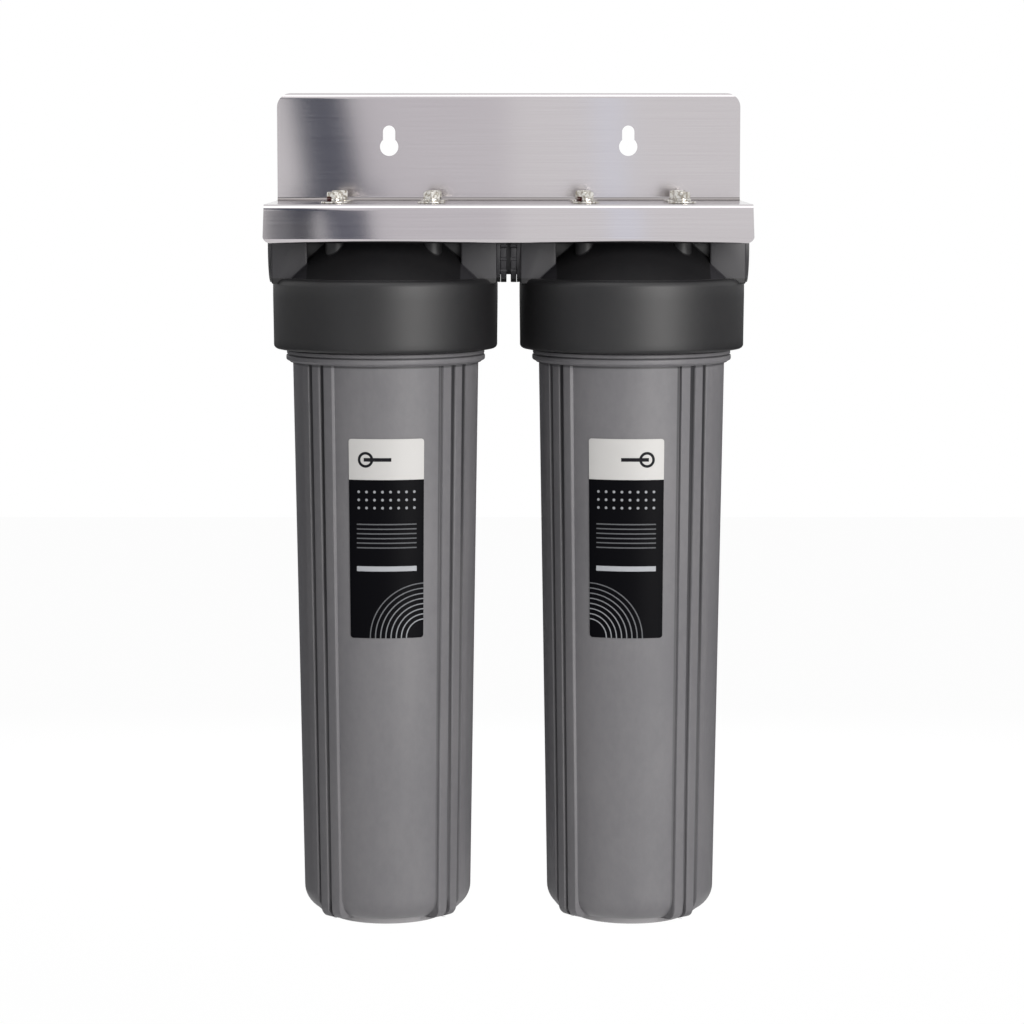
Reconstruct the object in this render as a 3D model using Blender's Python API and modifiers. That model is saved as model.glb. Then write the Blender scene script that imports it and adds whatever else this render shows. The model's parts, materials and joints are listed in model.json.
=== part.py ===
# A twin whole house water filter: two cartridge housings on a folded wall bracket.
# Metres, +Z up. The origin is where the bracket's top return bears on the wall, the
# object stands out from the wall along -Y, and +X is the outlet side.

import math

import bmesh
import bpy
from mathutils import Matrix, Vector

# Fits shared by all pieces
SEAT_GAP = 0.0003
RUNNING_GAP = 0.0008
CUT_OVERRUN = 0.002
EMBED = 0.001
MERGE_DISTANCE = 0.000001

# Bracket: one sheet, bent back at the top, forward for the shelf, down for the lip
SHEET = 0.002
BRACKET_OVERHANG = 0.0945
BACK_HEIGHT = 0.090
SHELF_DEPTH = 0.173
LIP_HEIGHT = 0.031
LIP_FLARE = 0.001
TOP_RETURN_DEPTH = 0.012
LIP_RETURN_DEPTH = 0.009
BEND_RADIUS = 0.005
LIP_RETURN_RADIUS = 0.004
BACK_CORNER_RADIUS = 0.012
LIP_CORNER_RADIUS = 0.0064
KEYHOLE_RADIUS = 0.00775
KEYHOLE_SLOT_RADIUS = 0.0052
KEYHOLE_HEIGHT = 0.045
KEYHOLE_RISE = 0.0126

# Places of the two housings under the shelf
HEAD_GAP = 0.0134
AXIS_FROM_LIP = 0.075
BOLT_SPACING_X = 0.078
BOLT_SPACING_Y = 0.077

# Bolts and washers
BOLT_RADIUS = 0.004
BOLT_LENGTH = 0.026
BOLT_HEAD_ACROSS_FLATS = 0.013
BOLT_HEAD_HEIGHT = 0.0053
WASHER_RADIUS = 0.0115
WASHER_THICKNESS = 0.0014
SPRING_WASHER_RADIUS = 0.0072
SPRING_WASHER_THICKNESS = 0.0018
SPRING_WASHER_SPLIT = 0.0012
SPRING_WASHER_START = 45.0
BOLT_HEAD_CHAMFER = 0.0007

# Head, with heights measured down from the shelf's top face
HEAD_TOP_DROP = 0.030
SHOULDER_SET_IN = 0.0106
BAND_TOP_DROP = 0.061
BAND_TAPER = 0.0004
BAND_HEIGHT = 0.0577
BAND_TOP_ROUND = 0.007
BAND_FOOT_ROUND = 0.0055
BAND_WALL = 0.0097
SKIRT_LEAD_IN = 0.0022
PORT_DROP = 0.0347
PORT_BLOCK_SET_IN = 0.0008
PORT_BLOCK_END_LENGTH = 0.0292
PORT_BLOCK_WIDTH = 0.063
PORT_BLOCK_HEIGHT = 0.061
PORT_BLOCK_ROUND = 0.0025
PORT_COLLAR_RADIUS = 0.0302
PORT_COLLAR_LENGTH = 0.0028
PORT_DEPTH = 0.024
WATERWAY_RADIUS = 0.018
WATERWAY_WALL = 0.0065
BOSS_RADIUS = 0.008
BOSS_DEPTH = 0.047
BOSS_HOLE_TAIL = 0.003
SEAL_DROP = 0.067
CHAMBER_ROOM = 0.00885
CHAMBER_HEIGHT = 0.007
DOWN_HOLE_RADIUS = 0.012
DOWN_HOLE_SET_IN = 0.019
POST_RADIUS = 0.031
POST_TAPER = 0.003

# The seat ring and spigot at both ends of a cartridge
SEAT_RING_RADIUS = 0.022
SPIGOT_RADIUS = 0.0135
SPIGOT_LENGTH = 0.0115
SPIGOT_CHAMFER = 0.0012
SPIGOT_BORE_RADIUS = 0.010

# Thread between head and sump
THREAD_PITCH = 0.00635
THREAD_TURNS = 2.5
THREAD_DEPTH = 0.0026
THREAD_ROOT_WIDTH = 0.0040
THREAD_DROP = 0.0877
THREAD_START = 4.0
THREAD_ROOM = 0.0040

# Nipple and lock rings between the heads
NIPPLE_RADIUS = 0.0239
NIPPLE_REACH = 0.022
LOCK_RING_RADIUS = 0.0304
LOCK_RING_SPACING = 0.0034

# Sump
SUMP_BAND_GAP = 0.0011
NECK_ROOM = 0.01235
NECK_WALL = 0.0091
FLANGE_REACH = 0.0026
FLANGE_HEIGHT = 0.0028
FLANGE_GROOVE_DEPTH = 0.0010
FLANGE_GROOVE_HEIGHT = 0.0016
BEAD_REACH = 0.0031
BEAD_HEIGHT = 0.0036
BEAD_TAPER = 0.0019
PANEL_SET_IN = 0.0025
PANEL_TAPER = 0.0071
BASE_BELOW_CARTRIDGE = 0.0103
SUMP_CORNER_RADIUS = 0.0195
SUMP_WALL = 0.0065
SUMP_FLOOR = 0.0055
FOOT_RING_SET_IN = 0.021
FOOT_RING_WIDTH = 0.007
FOOT_RING_HEIGHT = 0.0055
FOOT_RING_TAPER = 0.001
RIB_HEIGHT = 0.0023
RIB_WIDTH = 0.0080
LONG_RIB_CORNER_RADIUS = 0.0095
RIB_ANGLES = (38.2, 48.0, 57.8)
SUMP_TURN = {"left": 3.3, "right": -5.6}

# O-ring in the sump's rim
O_RING_SET_IN = 0.0046
O_RING_WIDTH = 0.0050
O_RING_HEIGHT = 0.0042

# Labels
LABEL_WIDTH = 0.061
LABEL_HEIGHT = 0.1618
LABEL_DROP = 0.1878
LABEL_THICKNESS = 0.0004
LABEL_TURN = {"left": 2.2, "right": -5.0}

# Cartridges
CARTRIDGE_RADIUS = 0.05715
CARTRIDGE_LENGTH = 0.508
CAP_PLATE = 0.004
CAP_RIM_WALL = 0.0018
CAP_RIM_HEIGHT = 0.012
CAP_HOLE_RADIUS = 0.0142
GASKET_RADIUS = 0.026
GASKET_THICKNESS = 0.004
CORE_RADIUS = 0.020
CORE_WALL = 0.0035
PLEAT_COUNT = 24
PLEAT_ROOT_RADIUS = 0.032
WRAP_THICKNESS = 0.002
CARBON_BORE_RADIUS = 0.019

# Sides of round pieces
BIG_SIDES = 36
MIDDLE_SIDES = 20
SMALL_SIDES = 12
THREAD_SIDES = 24
ARC_STEPS = 3
O_RING_SIDES = 6
LABEL_STEPS = 10
KEYHOLE_STEPS = 8
ROUND_SHADE_ANGLE = 35.0
O_RING_SHADE_ANGLE = 65.0

# Derived places
NECK_BORE_RADIUS = CARTRIDGE_RADIUS + NECK_ROOM
NECK_RADIUS = NECK_BORE_RADIUS + NECK_WALL
O_RING_RADIUS = NECK_RADIUS - O_RING_SET_IN
FLANGE_RADIUS = NECK_RADIUS + FLANGE_REACH
BEAD_RADIUS = NECK_RADIUS + BEAD_REACH
PANEL_TOP_RADIUS = NECK_RADIUS - PANEL_SET_IN
PANEL_FOOT_RADIUS = PANEL_TOP_RADIUS - PANEL_TAPER
FOOT_RING_RADIUS = PANEL_FOOT_RADIUS - FOOT_RING_SET_IN
SKIRT_RADIUS = NECK_RADIUS + THREAD_ROOM
BAND_RADIUS = SKIRT_RADIUS + BAND_WALL
BAND_FOOT_RADIUS = BAND_RADIUS - BAND_TAPER
SHOULDER_RADIUS = BAND_RADIUS - SHOULDER_SET_IN
CHAMBER_RADIUS = CARTRIDGE_RADIUS + CHAMBER_ROOM
DOWN_HOLE_OFFSET = CHAMBER_RADIUS - DOWN_HOLE_SET_IN
PORT_BLOCK_LENGTH = 2 * (BAND_RADIUS - PORT_BLOCK_SET_IN)
HOUSING_SPACING = PORT_BLOCK_LENGTH + 2 * PORT_COLLAR_LENGTH + HEAD_GAP
BRACKET_WIDTH = HOUSING_SPACING + 2 * BRACKET_OVERHANG
LOCK_RING_THICKNESS = (HEAD_GAP - LOCK_RING_SPACING) / 2 - SEAT_GAP
BRACKET_TOP = SHEET / 2
SHELF_TOP = BRACKET_TOP - BACK_HEIGHT
BACK_FRONT_Y = -TOP_RETURN_DEPTH
LIP_FRONT_Y = BACK_FRONT_Y - SHELF_DEPTH
AXIS_Y = LIP_FRONT_Y + AXIS_FROM_LIP
BAND_FOOT_DROP = BAND_TOP_DROP + BAND_HEIGHT
RIM_DROP = SEAL_DROP + RUNNING_GAP
FLANGE_DROP = BAND_FOOT_DROP + SUMP_BAND_GAP
BEAD_DROP = FLANGE_DROP + FLANGE_HEIGHT + FLANGE_GROOVE_HEIGHT
PANEL_DROP = BEAD_DROP + BEAD_HEIGHT + BEAD_TAPER
PORT_FACE_X = PORT_BLOCK_LENGTH / 2 + PORT_COLLAR_LENGTH
PORT_BORE_RADIUS = NIPPLE_RADIUS + SEAT_GAP
CARTRIDGE_TOP_DROP = SEAL_DROP
CARTRIDGE_FOOT_DROP = CARTRIDGE_TOP_DROP + CARTRIDGE_LENGTH
SUMP_BASE_DROP = CARTRIDGE_FOOT_DROP + BASE_BELOW_CARTRIDGE
HEAD_SEAT_DROP = CARTRIDGE_TOP_DROP - SEAT_GAP
SUMP_SEAT_DROP = CARTRIDGE_FOOT_DROP + SEAT_GAP
SUMP_FLOOR_DROP = SUMP_BASE_DROP - SUMP_FLOOR
MEDIA_RADIUS = (CARTRIDGE_RADIUS - CAP_RIM_WALL) * math.cos(math.pi / MIDDLE_SIDES) - SEAT_GAP
CAP_DROP = CARTRIDGE_TOP_DROP + GASKET_THICKNESS + SEAT_GAP
MEDIA_DROP = CAP_DROP + CAP_PLATE + SEAT_GAP
MEDIA_LENGTH = CARTRIDGE_LENGTH - 2 * (MEDIA_DROP - CARTRIDGE_TOP_DROP)
SIDE_OF = {"left": -1, "right": 1}


# Scene and materials

def clear_scene():
    for obj in list(bpy.data.objects):
        bpy.data.objects.remove(obj)


def make_collection(name):
    collection = bpy.data.collections.new(name)
    bpy.context.scene.collection.children.link(collection)
    return collection


def make_material(name, colour, roughness, metallic=0.0):
    material = bpy.data.materials.new(name)
    material.use_nodes = True
    shader = material.node_tree.nodes["Principled BSDF"]
    shader.inputs["Base Color"].default_value = (*colour, 1.0)
    shader.inputs["Roughness"].default_value = roughness
    shader.inputs["Metallic"].default_value = metallic
    return material


def make_materials():
    finishes = {
        "stainless": ((0.56, 0.54, 0.55), 0.30, 1.0),
        "zinc": ((0.70, 0.68, 0.66), 0.35, 1.0),
        "black_plastic": ((0.022, 0.022, 0.024), 0.42),
        "grey_plastic": ((0.165, 0.163, 0.166), 0.45),
        "label_film": ((0.010, 0.010, 0.013), 0.35),
        "seal_rubber": ((0.015, 0.015, 0.015), 0.60),
        "white_plastic": ((0.80, 0.80, 0.78), 0.50),
        "filter_paper": ((0.78, 0.76, 0.70), 0.90),
        "carbon": ((0.012, 0.012, 0.012), 0.85),
    }
    return {name: make_material(name, *values) for name, values in finishes.items()}


# Placing objects

def add_object(name, mesh, collection, parent=None):
    obj = bpy.data.objects.new(name, mesh)
    collection.objects.link(obj)
    obj.parent = parent
    return obj


def as_tool(obj):
    obj.hide_render = True
    obj.display_type = "WIRE"
    return obj


def add_tool(name, mesh, parent=None):
    return as_tool(add_object(name, mesh, TOOLS, parent))


def add_part(name, mesh, material, parent=None):
    obj = add_object(name, mesh, PARTS, parent)
    obj.data.materials.append(MATERIALS[material])
    return obj


def combine(target, tool, operation):
    modifier = target.modifiers.new(tool.name, "BOOLEAN")
    modifier.operation = operation
    modifier.solver = "EXACT"
    modifier.object = tool


def cut(target, tool):
    combine(target, tool, "DIFFERENCE")


def join(target, tool):
    combine(target, tool, "UNION")


def shade_round(obj, angle=ROUND_SHADE_ANGLE):
    obj.data.shade_smooth()
    obj.data.set_sharp_from_angle(angle=math.radians(angle))


# Meshes

def mesh_from(name, shape):
    bmesh.ops.recalc_face_normals(shape, faces=shape.faces[:])
    mesh = bpy.data.meshes.new(name)
    shape.to_mesh(mesh)
    shape.free()
    return mesh


def arc(centre, radius, start, end, steps=ARC_STEPS):
    """Points on an arc between two angles in degrees, both ends included."""
    points = []
    for i in range(steps + 1):
        angle = math.radians(start + (end - start) * i / steps)
        points.append((centre[0] + radius * math.cos(angle), centre[1] + radius * math.sin(angle)))
    return points


def profile_mesh(name, profile, closed):
    """The edge chain of a turned piece: (radius, height) points, down the outer side."""
    count = len(profile)
    edges = [(i, i + 1) for i in range(count - 1)]
    if closed:
        edges.append((count - 1, 0))
    mesh = bpy.data.meshes.new(name)
    mesh.from_pydata([(radius, 0.0, height) for radius, height in profile], edges, [])
    return mesh


def turn(obj, sides):
    screw = obj.modifiers.new("Turn", "SCREW")
    screw.angle = math.tau
    screw.steps = sides
    screw.render_steps = sides
    screw.use_merge_vertices = True
    screw.merge_threshold = MERGE_DISTANCE
    return obj


def turned_part(name, profile, sides, material, parent, closed=True):
    return turn(add_part(name, profile_mesh(name, profile, closed), material, parent), sides)


def turned_tool(name, profile, sides, parent, closed=False):
    return turn(add_tool(name, profile_mesh(name, profile, closed), parent), sides)


def ring(inner, outer, top, bottom):
    return [(inner, top), (outer, top), (outer, bottom), (inner, bottom)]


def extruded(name, outline, direction, shape=None):
    """A flat outline of 3-D points pushed along a direction."""
    own = shape is None
    if own:
        shape = bmesh.new()
    face = shape.faces.new([shape.verts.new(point) for point in outline])
    pushed = bmesh.ops.extrude_face_region(shape, geom=[face])
    corners = [item for item in pushed["geom"] if isinstance(item, bmesh.types.BMVert)]
    bmesh.ops.translate(shape, verts=corners, vec=direction)
    return mesh_from(name, shape) if own else shape


def box_mesh(name, size, centre, rounding=0.0):
    shape = bmesh.new()
    bmesh.ops.create_cube(shape, size=1.0)
    bmesh.ops.scale(shape, verts=shape.verts[:], vec=size)
    bmesh.ops.translate(shape, verts=shape.verts[:], vec=centre)
    if rounding:
        along_x = [edge for edge in shape.edges if abs(edge.verts[0].co.x - edge.verts[1].co.x) > rounding]
        bmesh.ops.bevel(shape, geom=along_x, offset=rounding, segments=2, profile=0.5,
                        affect="EDGES", material=-1)
    return mesh_from(name, shape)


def rod(shape, radius, length, centre, axis, sides):
    """Adds a cylinder of a length along an axis, centred on a point."""
    turn_to_axis = Vector((0, 0, 1)).rotation_difference(Vector(axis)).to_matrix().to_4x4()
    bmesh.ops.create_cone(shape, cap_ends=True, segments=sides, radius1=radius, radius2=radius,
                          depth=length, matrix=Matrix.Translation(centre) @ turn_to_axis)


def rods_mesh(name, rods):
    shape = bmesh.new()
    for values in rods:
        rod(shape, *values)
    return mesh_from(name, shape)


def swept_mesh(name, section, start, sweep, rise, steps):
    """A closed (radius, height) section carried round Z from an angle, rising evenly."""
    shape = bmesh.new()
    face = shape.faces.new([shape.verts.new((radius, 0.0, height)) for radius, height in section])
    bmesh.ops.rotate(shape, verts=shape.verts[:], matrix=Matrix.Rotation(start, 3, "Z"))
    bmesh.ops.spin(shape, geom=[face], axis=(0, 0, 1), cent=(0, 0, 0), angle=sweep, steps=steps,
                   dvec=(0, 0, rise / steps))
    bmesh.ops.remove_doubles(shape, verts=shape.verts[:], dist=MERGE_DISTANCE)
    return mesh_from(name, shape)


# Bracket

def sheet_outline():
    """The folded sheet's cut edge in the YZ plane, walked along its middle line."""
    bend = BEND_RADIUS - SHEET / 2
    lip_bend = LIP_RETURN_RADIUS - SHEET / 2
    moves = (
        ("straight", TOP_RETURN_DEPTH - BEND_RADIUS),
        ("down", bend),
        ("straight", BACK_HEIGHT - 2 * bend),
        ("forward", bend),
        ("straight", SHELF_DEPTH - 2 * bend),
        ("down", bend),
        ("straight", LIP_HEIGHT - SHEET - bend - lip_bend),
        ("back", lip_bend),
        ("straight", LIP_RETURN_DEPTH - LIP_RETURN_RADIUS),
    )
    place = Vector((0.0, 0.0))
    heading = math.pi
    left, right = [], []

    def mark():
        side = Vector((-math.sin(heading), math.cos(heading))) * (SHEET / 2)
        left.append(place + side)
        right.append(place - side)

    mark()
    for kind, amount in moves:
        if kind == "straight":
            place = place + Vector((math.cos(heading), math.sin(heading))) * amount
            mark()
            continue
        turning = -1 if kind == "forward" else 1
        for _ in range(ARC_STEPS):
            step = turning * math.pi / 2 / ARC_STEPS
            chord = 2 * amount * math.sin(abs(step) / 2)
            middle = heading + step / 2
            place = place + Vector((math.cos(middle), math.sin(middle))) * chord
            heading += step
            mark()
    return [(y, z) for y, z in left + right[::-1]]


def corner_cutter(name, x, z, radius, side, up, y_from, y_to):
    """What rounds one corner of a plate: a square corner less its quarter disc."""
    over = CUT_OVERRUN
    centre = (x - side * radius, z - up * radius)
    rim = [(centre[0] + side * radius * math.cos(a), centre[1] + up * radius * math.sin(a))
           for a in (math.radians(90 * i / (2 * ARC_STEPS)) for i in range(2 * ARC_STEPS + 1))]
    outline = rim + [(centre[0], z + up * over), (x + side * over, z + up * over),
                     (x + side * over, centre[1])]
    return add_tool(name, extruded(name, [(px, y_from, pz) for px, pz in outline],
                                   (0, y_to - y_from, 0)))


def keyhole_outline(x):
    """A round entry with a slot above it, in the XZ plane."""
    low = SHELF_TOP + KEYHOLE_HEIGHT
    spread = math.degrees(math.asin(KEYHOLE_SLOT_RADIUS / KEYHOLE_RADIUS))
    entry = arc((x, low), KEYHOLE_RADIUS, 90 + spread, 450 - spread,
                2 * KEYHOLE_STEPS)
    slot = arc((x, low + KEYHOLE_RISE), KEYHOLE_SLOT_RADIUS, 0, 180, KEYHOLE_STEPS)
    return entry + slot


def bolt_places(side):
    centre_x = SIDE_OF[side] * HOUSING_SPACING / 2
    return [(centre_x + dx * BOLT_SPACING_X / 2, AXIS_Y + dy * BOLT_SPACING_Y / 2)
            for dy in (-1, 1) for dx in (-1, 1)]


def make_bracket():
    half = BRACKET_WIDTH / 2
    outline = [(-half, y, z) for y, z in sheet_outline()]
    bracket = add_part("wall_bracket", extruded("wall_bracket", outline, (BRACKET_WIDTH, 0, 0)),
                       "stainless")
    lip_top = SHELF_TOP - BEND_RADIUS
    lip_foot = SHELF_TOP - LIP_HEIGHT
    for vertex in bracket.data.vertices:
        if vertex.co.z < lip_top:
            share = (lip_top - vertex.co.z) / (lip_top - lip_foot)
            vertex.co.x += math.copysign(LIP_FLARE * share, vertex.co.x)
    for side in (-1, 1):
        hand = "left" if side < 0 else "right"
        cut(bracket, corner_cutter(f"{hand}_back_corner_cutter", side * half, BRACKET_TOP,
                                   BACK_CORNER_RADIUS, side, 1,
                                   BACK_FRONT_Y - CUT_OVERRUN, CUT_OVERRUN))
        cut(bracket, corner_cutter(f"{hand}_lip_corner_cutter", side * (half + LIP_FLARE), lip_foot,
                                   LIP_CORNER_RADIUS, side, -1,
                                   LIP_FRONT_Y - CUT_OVERRUN,
                                   LIP_FRONT_Y + LIP_RETURN_DEPTH + CUT_OVERRUN))
        keyhole = [(x, BACK_FRONT_Y - CUT_OVERRUN, z)
                   for x, z in keyhole_outline(side * HOUSING_SPACING / 2)]
        cut(bracket, add_tool(f"{hand}_keyhole_cutter",
                              extruded("keyhole", keyhole, (0, SHEET + 2 * CUT_OVERRUN, 0))))
    holes = [(BOLT_RADIUS + RUNNING_GAP, SHEET + 2 * CUT_OVERRUN, (x, y, SHELF_TOP - SHEET / 2),
              (0, 0, 1), SMALL_SIDES)
             for side in SIDE_OF for x, y in bolt_places(side)]
    cut(bracket, add_tool("bolt_hole_cutter", rods_mesh("bolt_holes", holes)))
    shade_round(bracket)


# Bolts and washers

def make_fasteners(side):
    washer_top = SEAT_GAP + WASHER_THICKNESS
    spring_top = washer_top + SEAT_GAP + SPRING_WASHER_THICKNESS
    head_under = spring_top + SEAT_GAP
    bore = BOLT_RADIUS + SEAT_GAP
    for number, (x, y) in enumerate(bolt_places(side), start=1):
        place = Vector((x, y, SHELF_TOP))
        washer = turned_part(f"{side}_washer_{number}", ring(bore, WASHER_RADIUS, washer_top, SEAT_GAP),
                             SMALL_SIDES, "zinc", None)
        washer.location = place
        spring = swept_mesh("spring_washer", ring(bore, SPRING_WASHER_RADIUS, spring_top,
                                                  washer_top + SEAT_GAP),
                            math.radians(SPRING_WASHER_START),
                            math.tau - SPRING_WASHER_SPLIT / SPRING_WASHER_RADIUS, 0.0, SMALL_SIDES)
        add_part(f"{side}_spring_washer_{number}", spring, "zinc").location = place
        bolt = bmesh.new()
        hexagon = BOLT_HEAD_ACROSS_FLATS / 2 / math.cos(math.pi / 6)
        bmesh.ops.create_cone(bolt, cap_ends=True, segments=6, radius1=hexagon, radius2=hexagon,
                              depth=BOLT_HEAD_HEIGHT,
                              matrix=Matrix.Translation((0, 0, head_under + BOLT_HEAD_HEIGHT / 2)))
        top_edges = [edge for edge in bolt.edges
                     if all(v.co.z > head_under + BOLT_HEAD_HEIGHT / 2 for v in edge.verts)]
        bmesh.ops.bevel(bolt, geom=top_edges, offset=BOLT_HEAD_CHAMFER, segments=1, profile=0.5,
                        affect="EDGES", material=-1)
        part = add_part(f"{side}_bolt_{number}", mesh_from("bolt_head", bolt), "zinc")
        part.location = place
        shank = add_tool(f"{side}_bolt_{number}_shank", rods_mesh("shank", [
            (BOLT_RADIUS, BOLT_LENGTH + EMBED, (0, 0, head_under + EMBED / 2 - BOLT_LENGTH / 2),
             (0, 0, 1), SMALL_SIDES)]))
        shank.location = place
        join(part, shank)


# Heads

def head_outer_profile():
    """Flat crown, 45 degree shoulder, then the rounded band of the skirt."""
    crown_radius = SHOULDER_RADIUS - (BAND_TOP_DROP - HEAD_TOP_DROP)
    return (
        [(0.0, -HEAD_TOP_DROP), (crown_radius, -HEAD_TOP_DROP), (SHOULDER_RADIUS, -BAND_TOP_DROP)]
        + arc((BAND_RADIUS - BAND_TOP_ROUND, -BAND_TOP_DROP - BAND_TOP_ROUND), BAND_TOP_ROUND, 90, 0)
        + arc((BAND_FOOT_RADIUS - BAND_FOOT_ROUND, -BAND_FOOT_DROP + BAND_FOOT_ROUND),
              BAND_FOOT_ROUND, 0, -90)
        + [(0.0, -BAND_FOOT_DROP)]
    )


def head_cavity_profile():
    """The hollow inside a head, with the post and spigot that enter the cartridge left standing."""
    spigot_end = HEAD_SEAT_DROP + SPIGOT_LENGTH
    chamber_top = SEAL_DROP - CHAMBER_HEIGHT
    post_foot = chamber_top + POST_TAPER
    below = BAND_FOOT_DROP + CUT_OVERRUN
    return [
        (0.0, -PORT_DROP),
        (SPIGOT_BORE_RADIUS, -PORT_DROP),
        (SPIGOT_BORE_RADIUS, -spigot_end),
        (SPIGOT_RADIUS - SPIGOT_CHAMFER, -spigot_end),
        (SPIGOT_RADIUS, -spigot_end + SPIGOT_CHAMFER),
        (SPIGOT_RADIUS, -HEAD_SEAT_DROP),
        (SEAT_RING_RADIUS, -HEAD_SEAT_DROP),
        (POST_RADIUS, -post_foot),
        (POST_RADIUS, -chamber_top),
        (CHAMBER_RADIUS, -chamber_top),
        (CHAMBER_RADIUS, -SEAL_DROP),
        (SKIRT_RADIUS, -SEAL_DROP),
        (SKIRT_RADIUS, -BAND_FOOT_DROP + SKIRT_LEAD_IN),
        (SKIRT_RADIUS + SKIRT_LEAD_IN + CUT_OVERRUN, -below),
        (0.0, -below),
    ]


def thread_section(root, outward, height):
    """A thread's ridge: its base sunk into the wall, its crest standing out or in."""
    base = root - outward * EMBED
    crest = root + outward * THREAD_DEPTH
    half = THREAD_ROOT_WIDTH / 2
    return [(base, height + half), (crest, height), (base, height - half)]


def thread_mesh(name, root, outward, height):
    """A right-hand thread that starts at a height and climbs."""
    steps = round(THREAD_SIDES * THREAD_TURNS)
    return swept_mesh(name, thread_section(root, outward, height), math.radians(THREAD_START),
                      math.tau * THREAD_TURNS, THREAD_PITCH * THREAD_TURNS, steps)


def make_head(side, axis):
    head = turned_part(f"{side}_head", head_outer_profile(), BIG_SIDES, "black_plastic", axis,
                       closed=False)
    block_middle = (PORT_BLOCK_LENGTH - PORT_BLOCK_END_LENGTH) / 2
    tunnel = [(WATERWAY_RADIUS + WATERWAY_WALL, 2 * block_middle, (0, 0, -PORT_DROP), (1, 0, 0),
               MIDDLE_SIDES)]
    join(head, add_tool(f"{side}_tunnel", rods_mesh("tunnel", tunnel), axis))
    for end in (-1, 1):
        block = box_mesh("port_block", (PORT_BLOCK_END_LENGTH, PORT_BLOCK_WIDTH, PORT_BLOCK_HEIGHT),
                         (end * block_middle, 0, -PORT_DROP), PORT_BLOCK_ROUND)
        join(head, add_tool(f"{side}_port_block", block, axis))
    boss_top = SHEET + SEAT_GAP
    across = [(dx * BOLT_SPACING_X / 2, dy * BOLT_SPACING_Y / 2) for dx in (-1, 1) for dy in (-1, 1)]
    bosses = [(BOSS_RADIUS, BOSS_DEPTH - boss_top, (x, y, -(BOSS_DEPTH + boss_top) / 2), (0, 0, 1),
               SMALL_SIDES) for x, y in across]
    join(head, add_tool(f"{side}_bosses", rods_mesh("bosses", bosses), axis))
    collars = [(PORT_COLLAR_RADIUS, PORT_COLLAR_LENGTH + EMBED,
                (end * (PORT_FACE_X - (PORT_COLLAR_LENGTH + EMBED) / 2), 0, -PORT_DROP), (1, 0, 0),
                MIDDLE_SIDES) for end in (-1, 1)]
    join(head, add_tool(f"{side}_collars", rods_mesh("collars", collars), axis))

    cut(head, turned_tool(f"{side}_head_cavity", head_cavity_profile(), BIG_SIDES, axis))
    sockets = [(PORT_BORE_RADIUS, PORT_DEPTH + CUT_OVERRUN,
                (end * (PORT_FACE_X - (PORT_DEPTH - CUT_OVERRUN) / 2), 0, -PORT_DROP), (1, 0, 0),
                MIDDLE_SIDES) for end in (-1, 1)]
    cut(head, add_tool(f"{side}_port_sockets", rods_mesh("sockets", sockets), axis))
    inlet_end = -(DOWN_HOLE_OFFSET - DOWN_HOLE_RADIUS - CUT_OVERRUN)
    outlet_end = -SPIGOT_BORE_RADIUS - EMBED
    outer = PORT_FACE_X + CUT_OVERRUN
    waterways = [
        (WATERWAY_RADIUS, outer + inlet_end, (-(outer - inlet_end) / 2, 0, -PORT_DROP), (1, 0, 0),
         SMALL_SIDES),
        (WATERWAY_RADIUS, outer - outlet_end, ((outer + outlet_end) / 2, 0, -PORT_DROP), (1, 0, 0),
         SMALL_SIDES),
    ]
    cut(head, add_tool(f"{side}_waterways", rods_mesh("waterways", waterways), axis))
    down_top = PORT_DROP
    down_end = SEAL_DROP - CHAMBER_HEIGHT + CUT_OVERRUN
    down = [(DOWN_HOLE_RADIUS, down_end - down_top,
             (-DOWN_HOLE_OFFSET, 0, -(down_end + down_top) / 2), (0, 0, 1), SMALL_SIDES)]
    cut(head, add_tool(f"{side}_down_hole", rods_mesh("down_hole", down), axis))
    hole_foot = BOLT_LENGTH + BOSS_HOLE_TAIL
    boss_holes = [(BOLT_RADIUS + SEAT_GAP, hole_foot + CUT_OVERRUN, (x, y, -(hole_foot - CUT_OVERRUN) / 2),
                   (0, 0, 1), SMALL_SIDES) for x, y in across]
    cut(head, add_tool(f"{side}_boss_holes", rods_mesh("boss_holes", boss_holes), axis))

    lift = THREAD_PITCH * THREAD_TURNS
    female = thread_mesh("female_thread", SKIRT_RADIUS, -1,
                         -THREAD_DROP - lift - THREAD_PITCH / 2)
    join(head, add_tool(f"{side}_female_thread", female, axis))
    shade_round(head)


# Nipple and its rings

def make_coupling():
    """The nipple lies along X between the heads: turned about Z, then laid over."""
    place = Vector((0, AXIS_Y, SHELF_TOP - PORT_DROP))
    lay_over = math.pi / 2
    half_gap = HEAD_GAP / 2
    reach = half_gap + NIPPLE_REACH
    nipple = turned_part("coupling_nipple", ring(WATERWAY_RADIUS, NIPPLE_RADIUS, reach, -reach),
                         MIDDLE_SIDES, "black_plastic", None)
    nipple.location = place
    nipple.rotation_euler.y = lay_over
    for side, sign in SIDE_OF.items():
        outer = half_gap - SEAT_GAP
        faces = sorted((sign * outer, sign * (outer - LOCK_RING_THICKNESS)), reverse=True)
        lock = turned_part(f"{side}_lock_ring",
                           ring(NIPPLE_RADIUS + SEAT_GAP, LOCK_RING_RADIUS, *faces),
                           MIDDLE_SIDES, "black_plastic", None)
        lock.location = place
        lock.rotation_euler.y = lay_over


# Sumps

def panel_radius(drop):
    """The tapered wall's outer radius at a drop below the shelf."""
    foot = SUMP_BASE_DROP - SUMP_CORNER_RADIUS
    share = (drop - PANEL_DROP) / (foot - PANEL_DROP)
    return PANEL_TOP_RADIUS + (PANEL_FOOT_RADIUS - PANEL_TOP_RADIUS) * share


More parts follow.
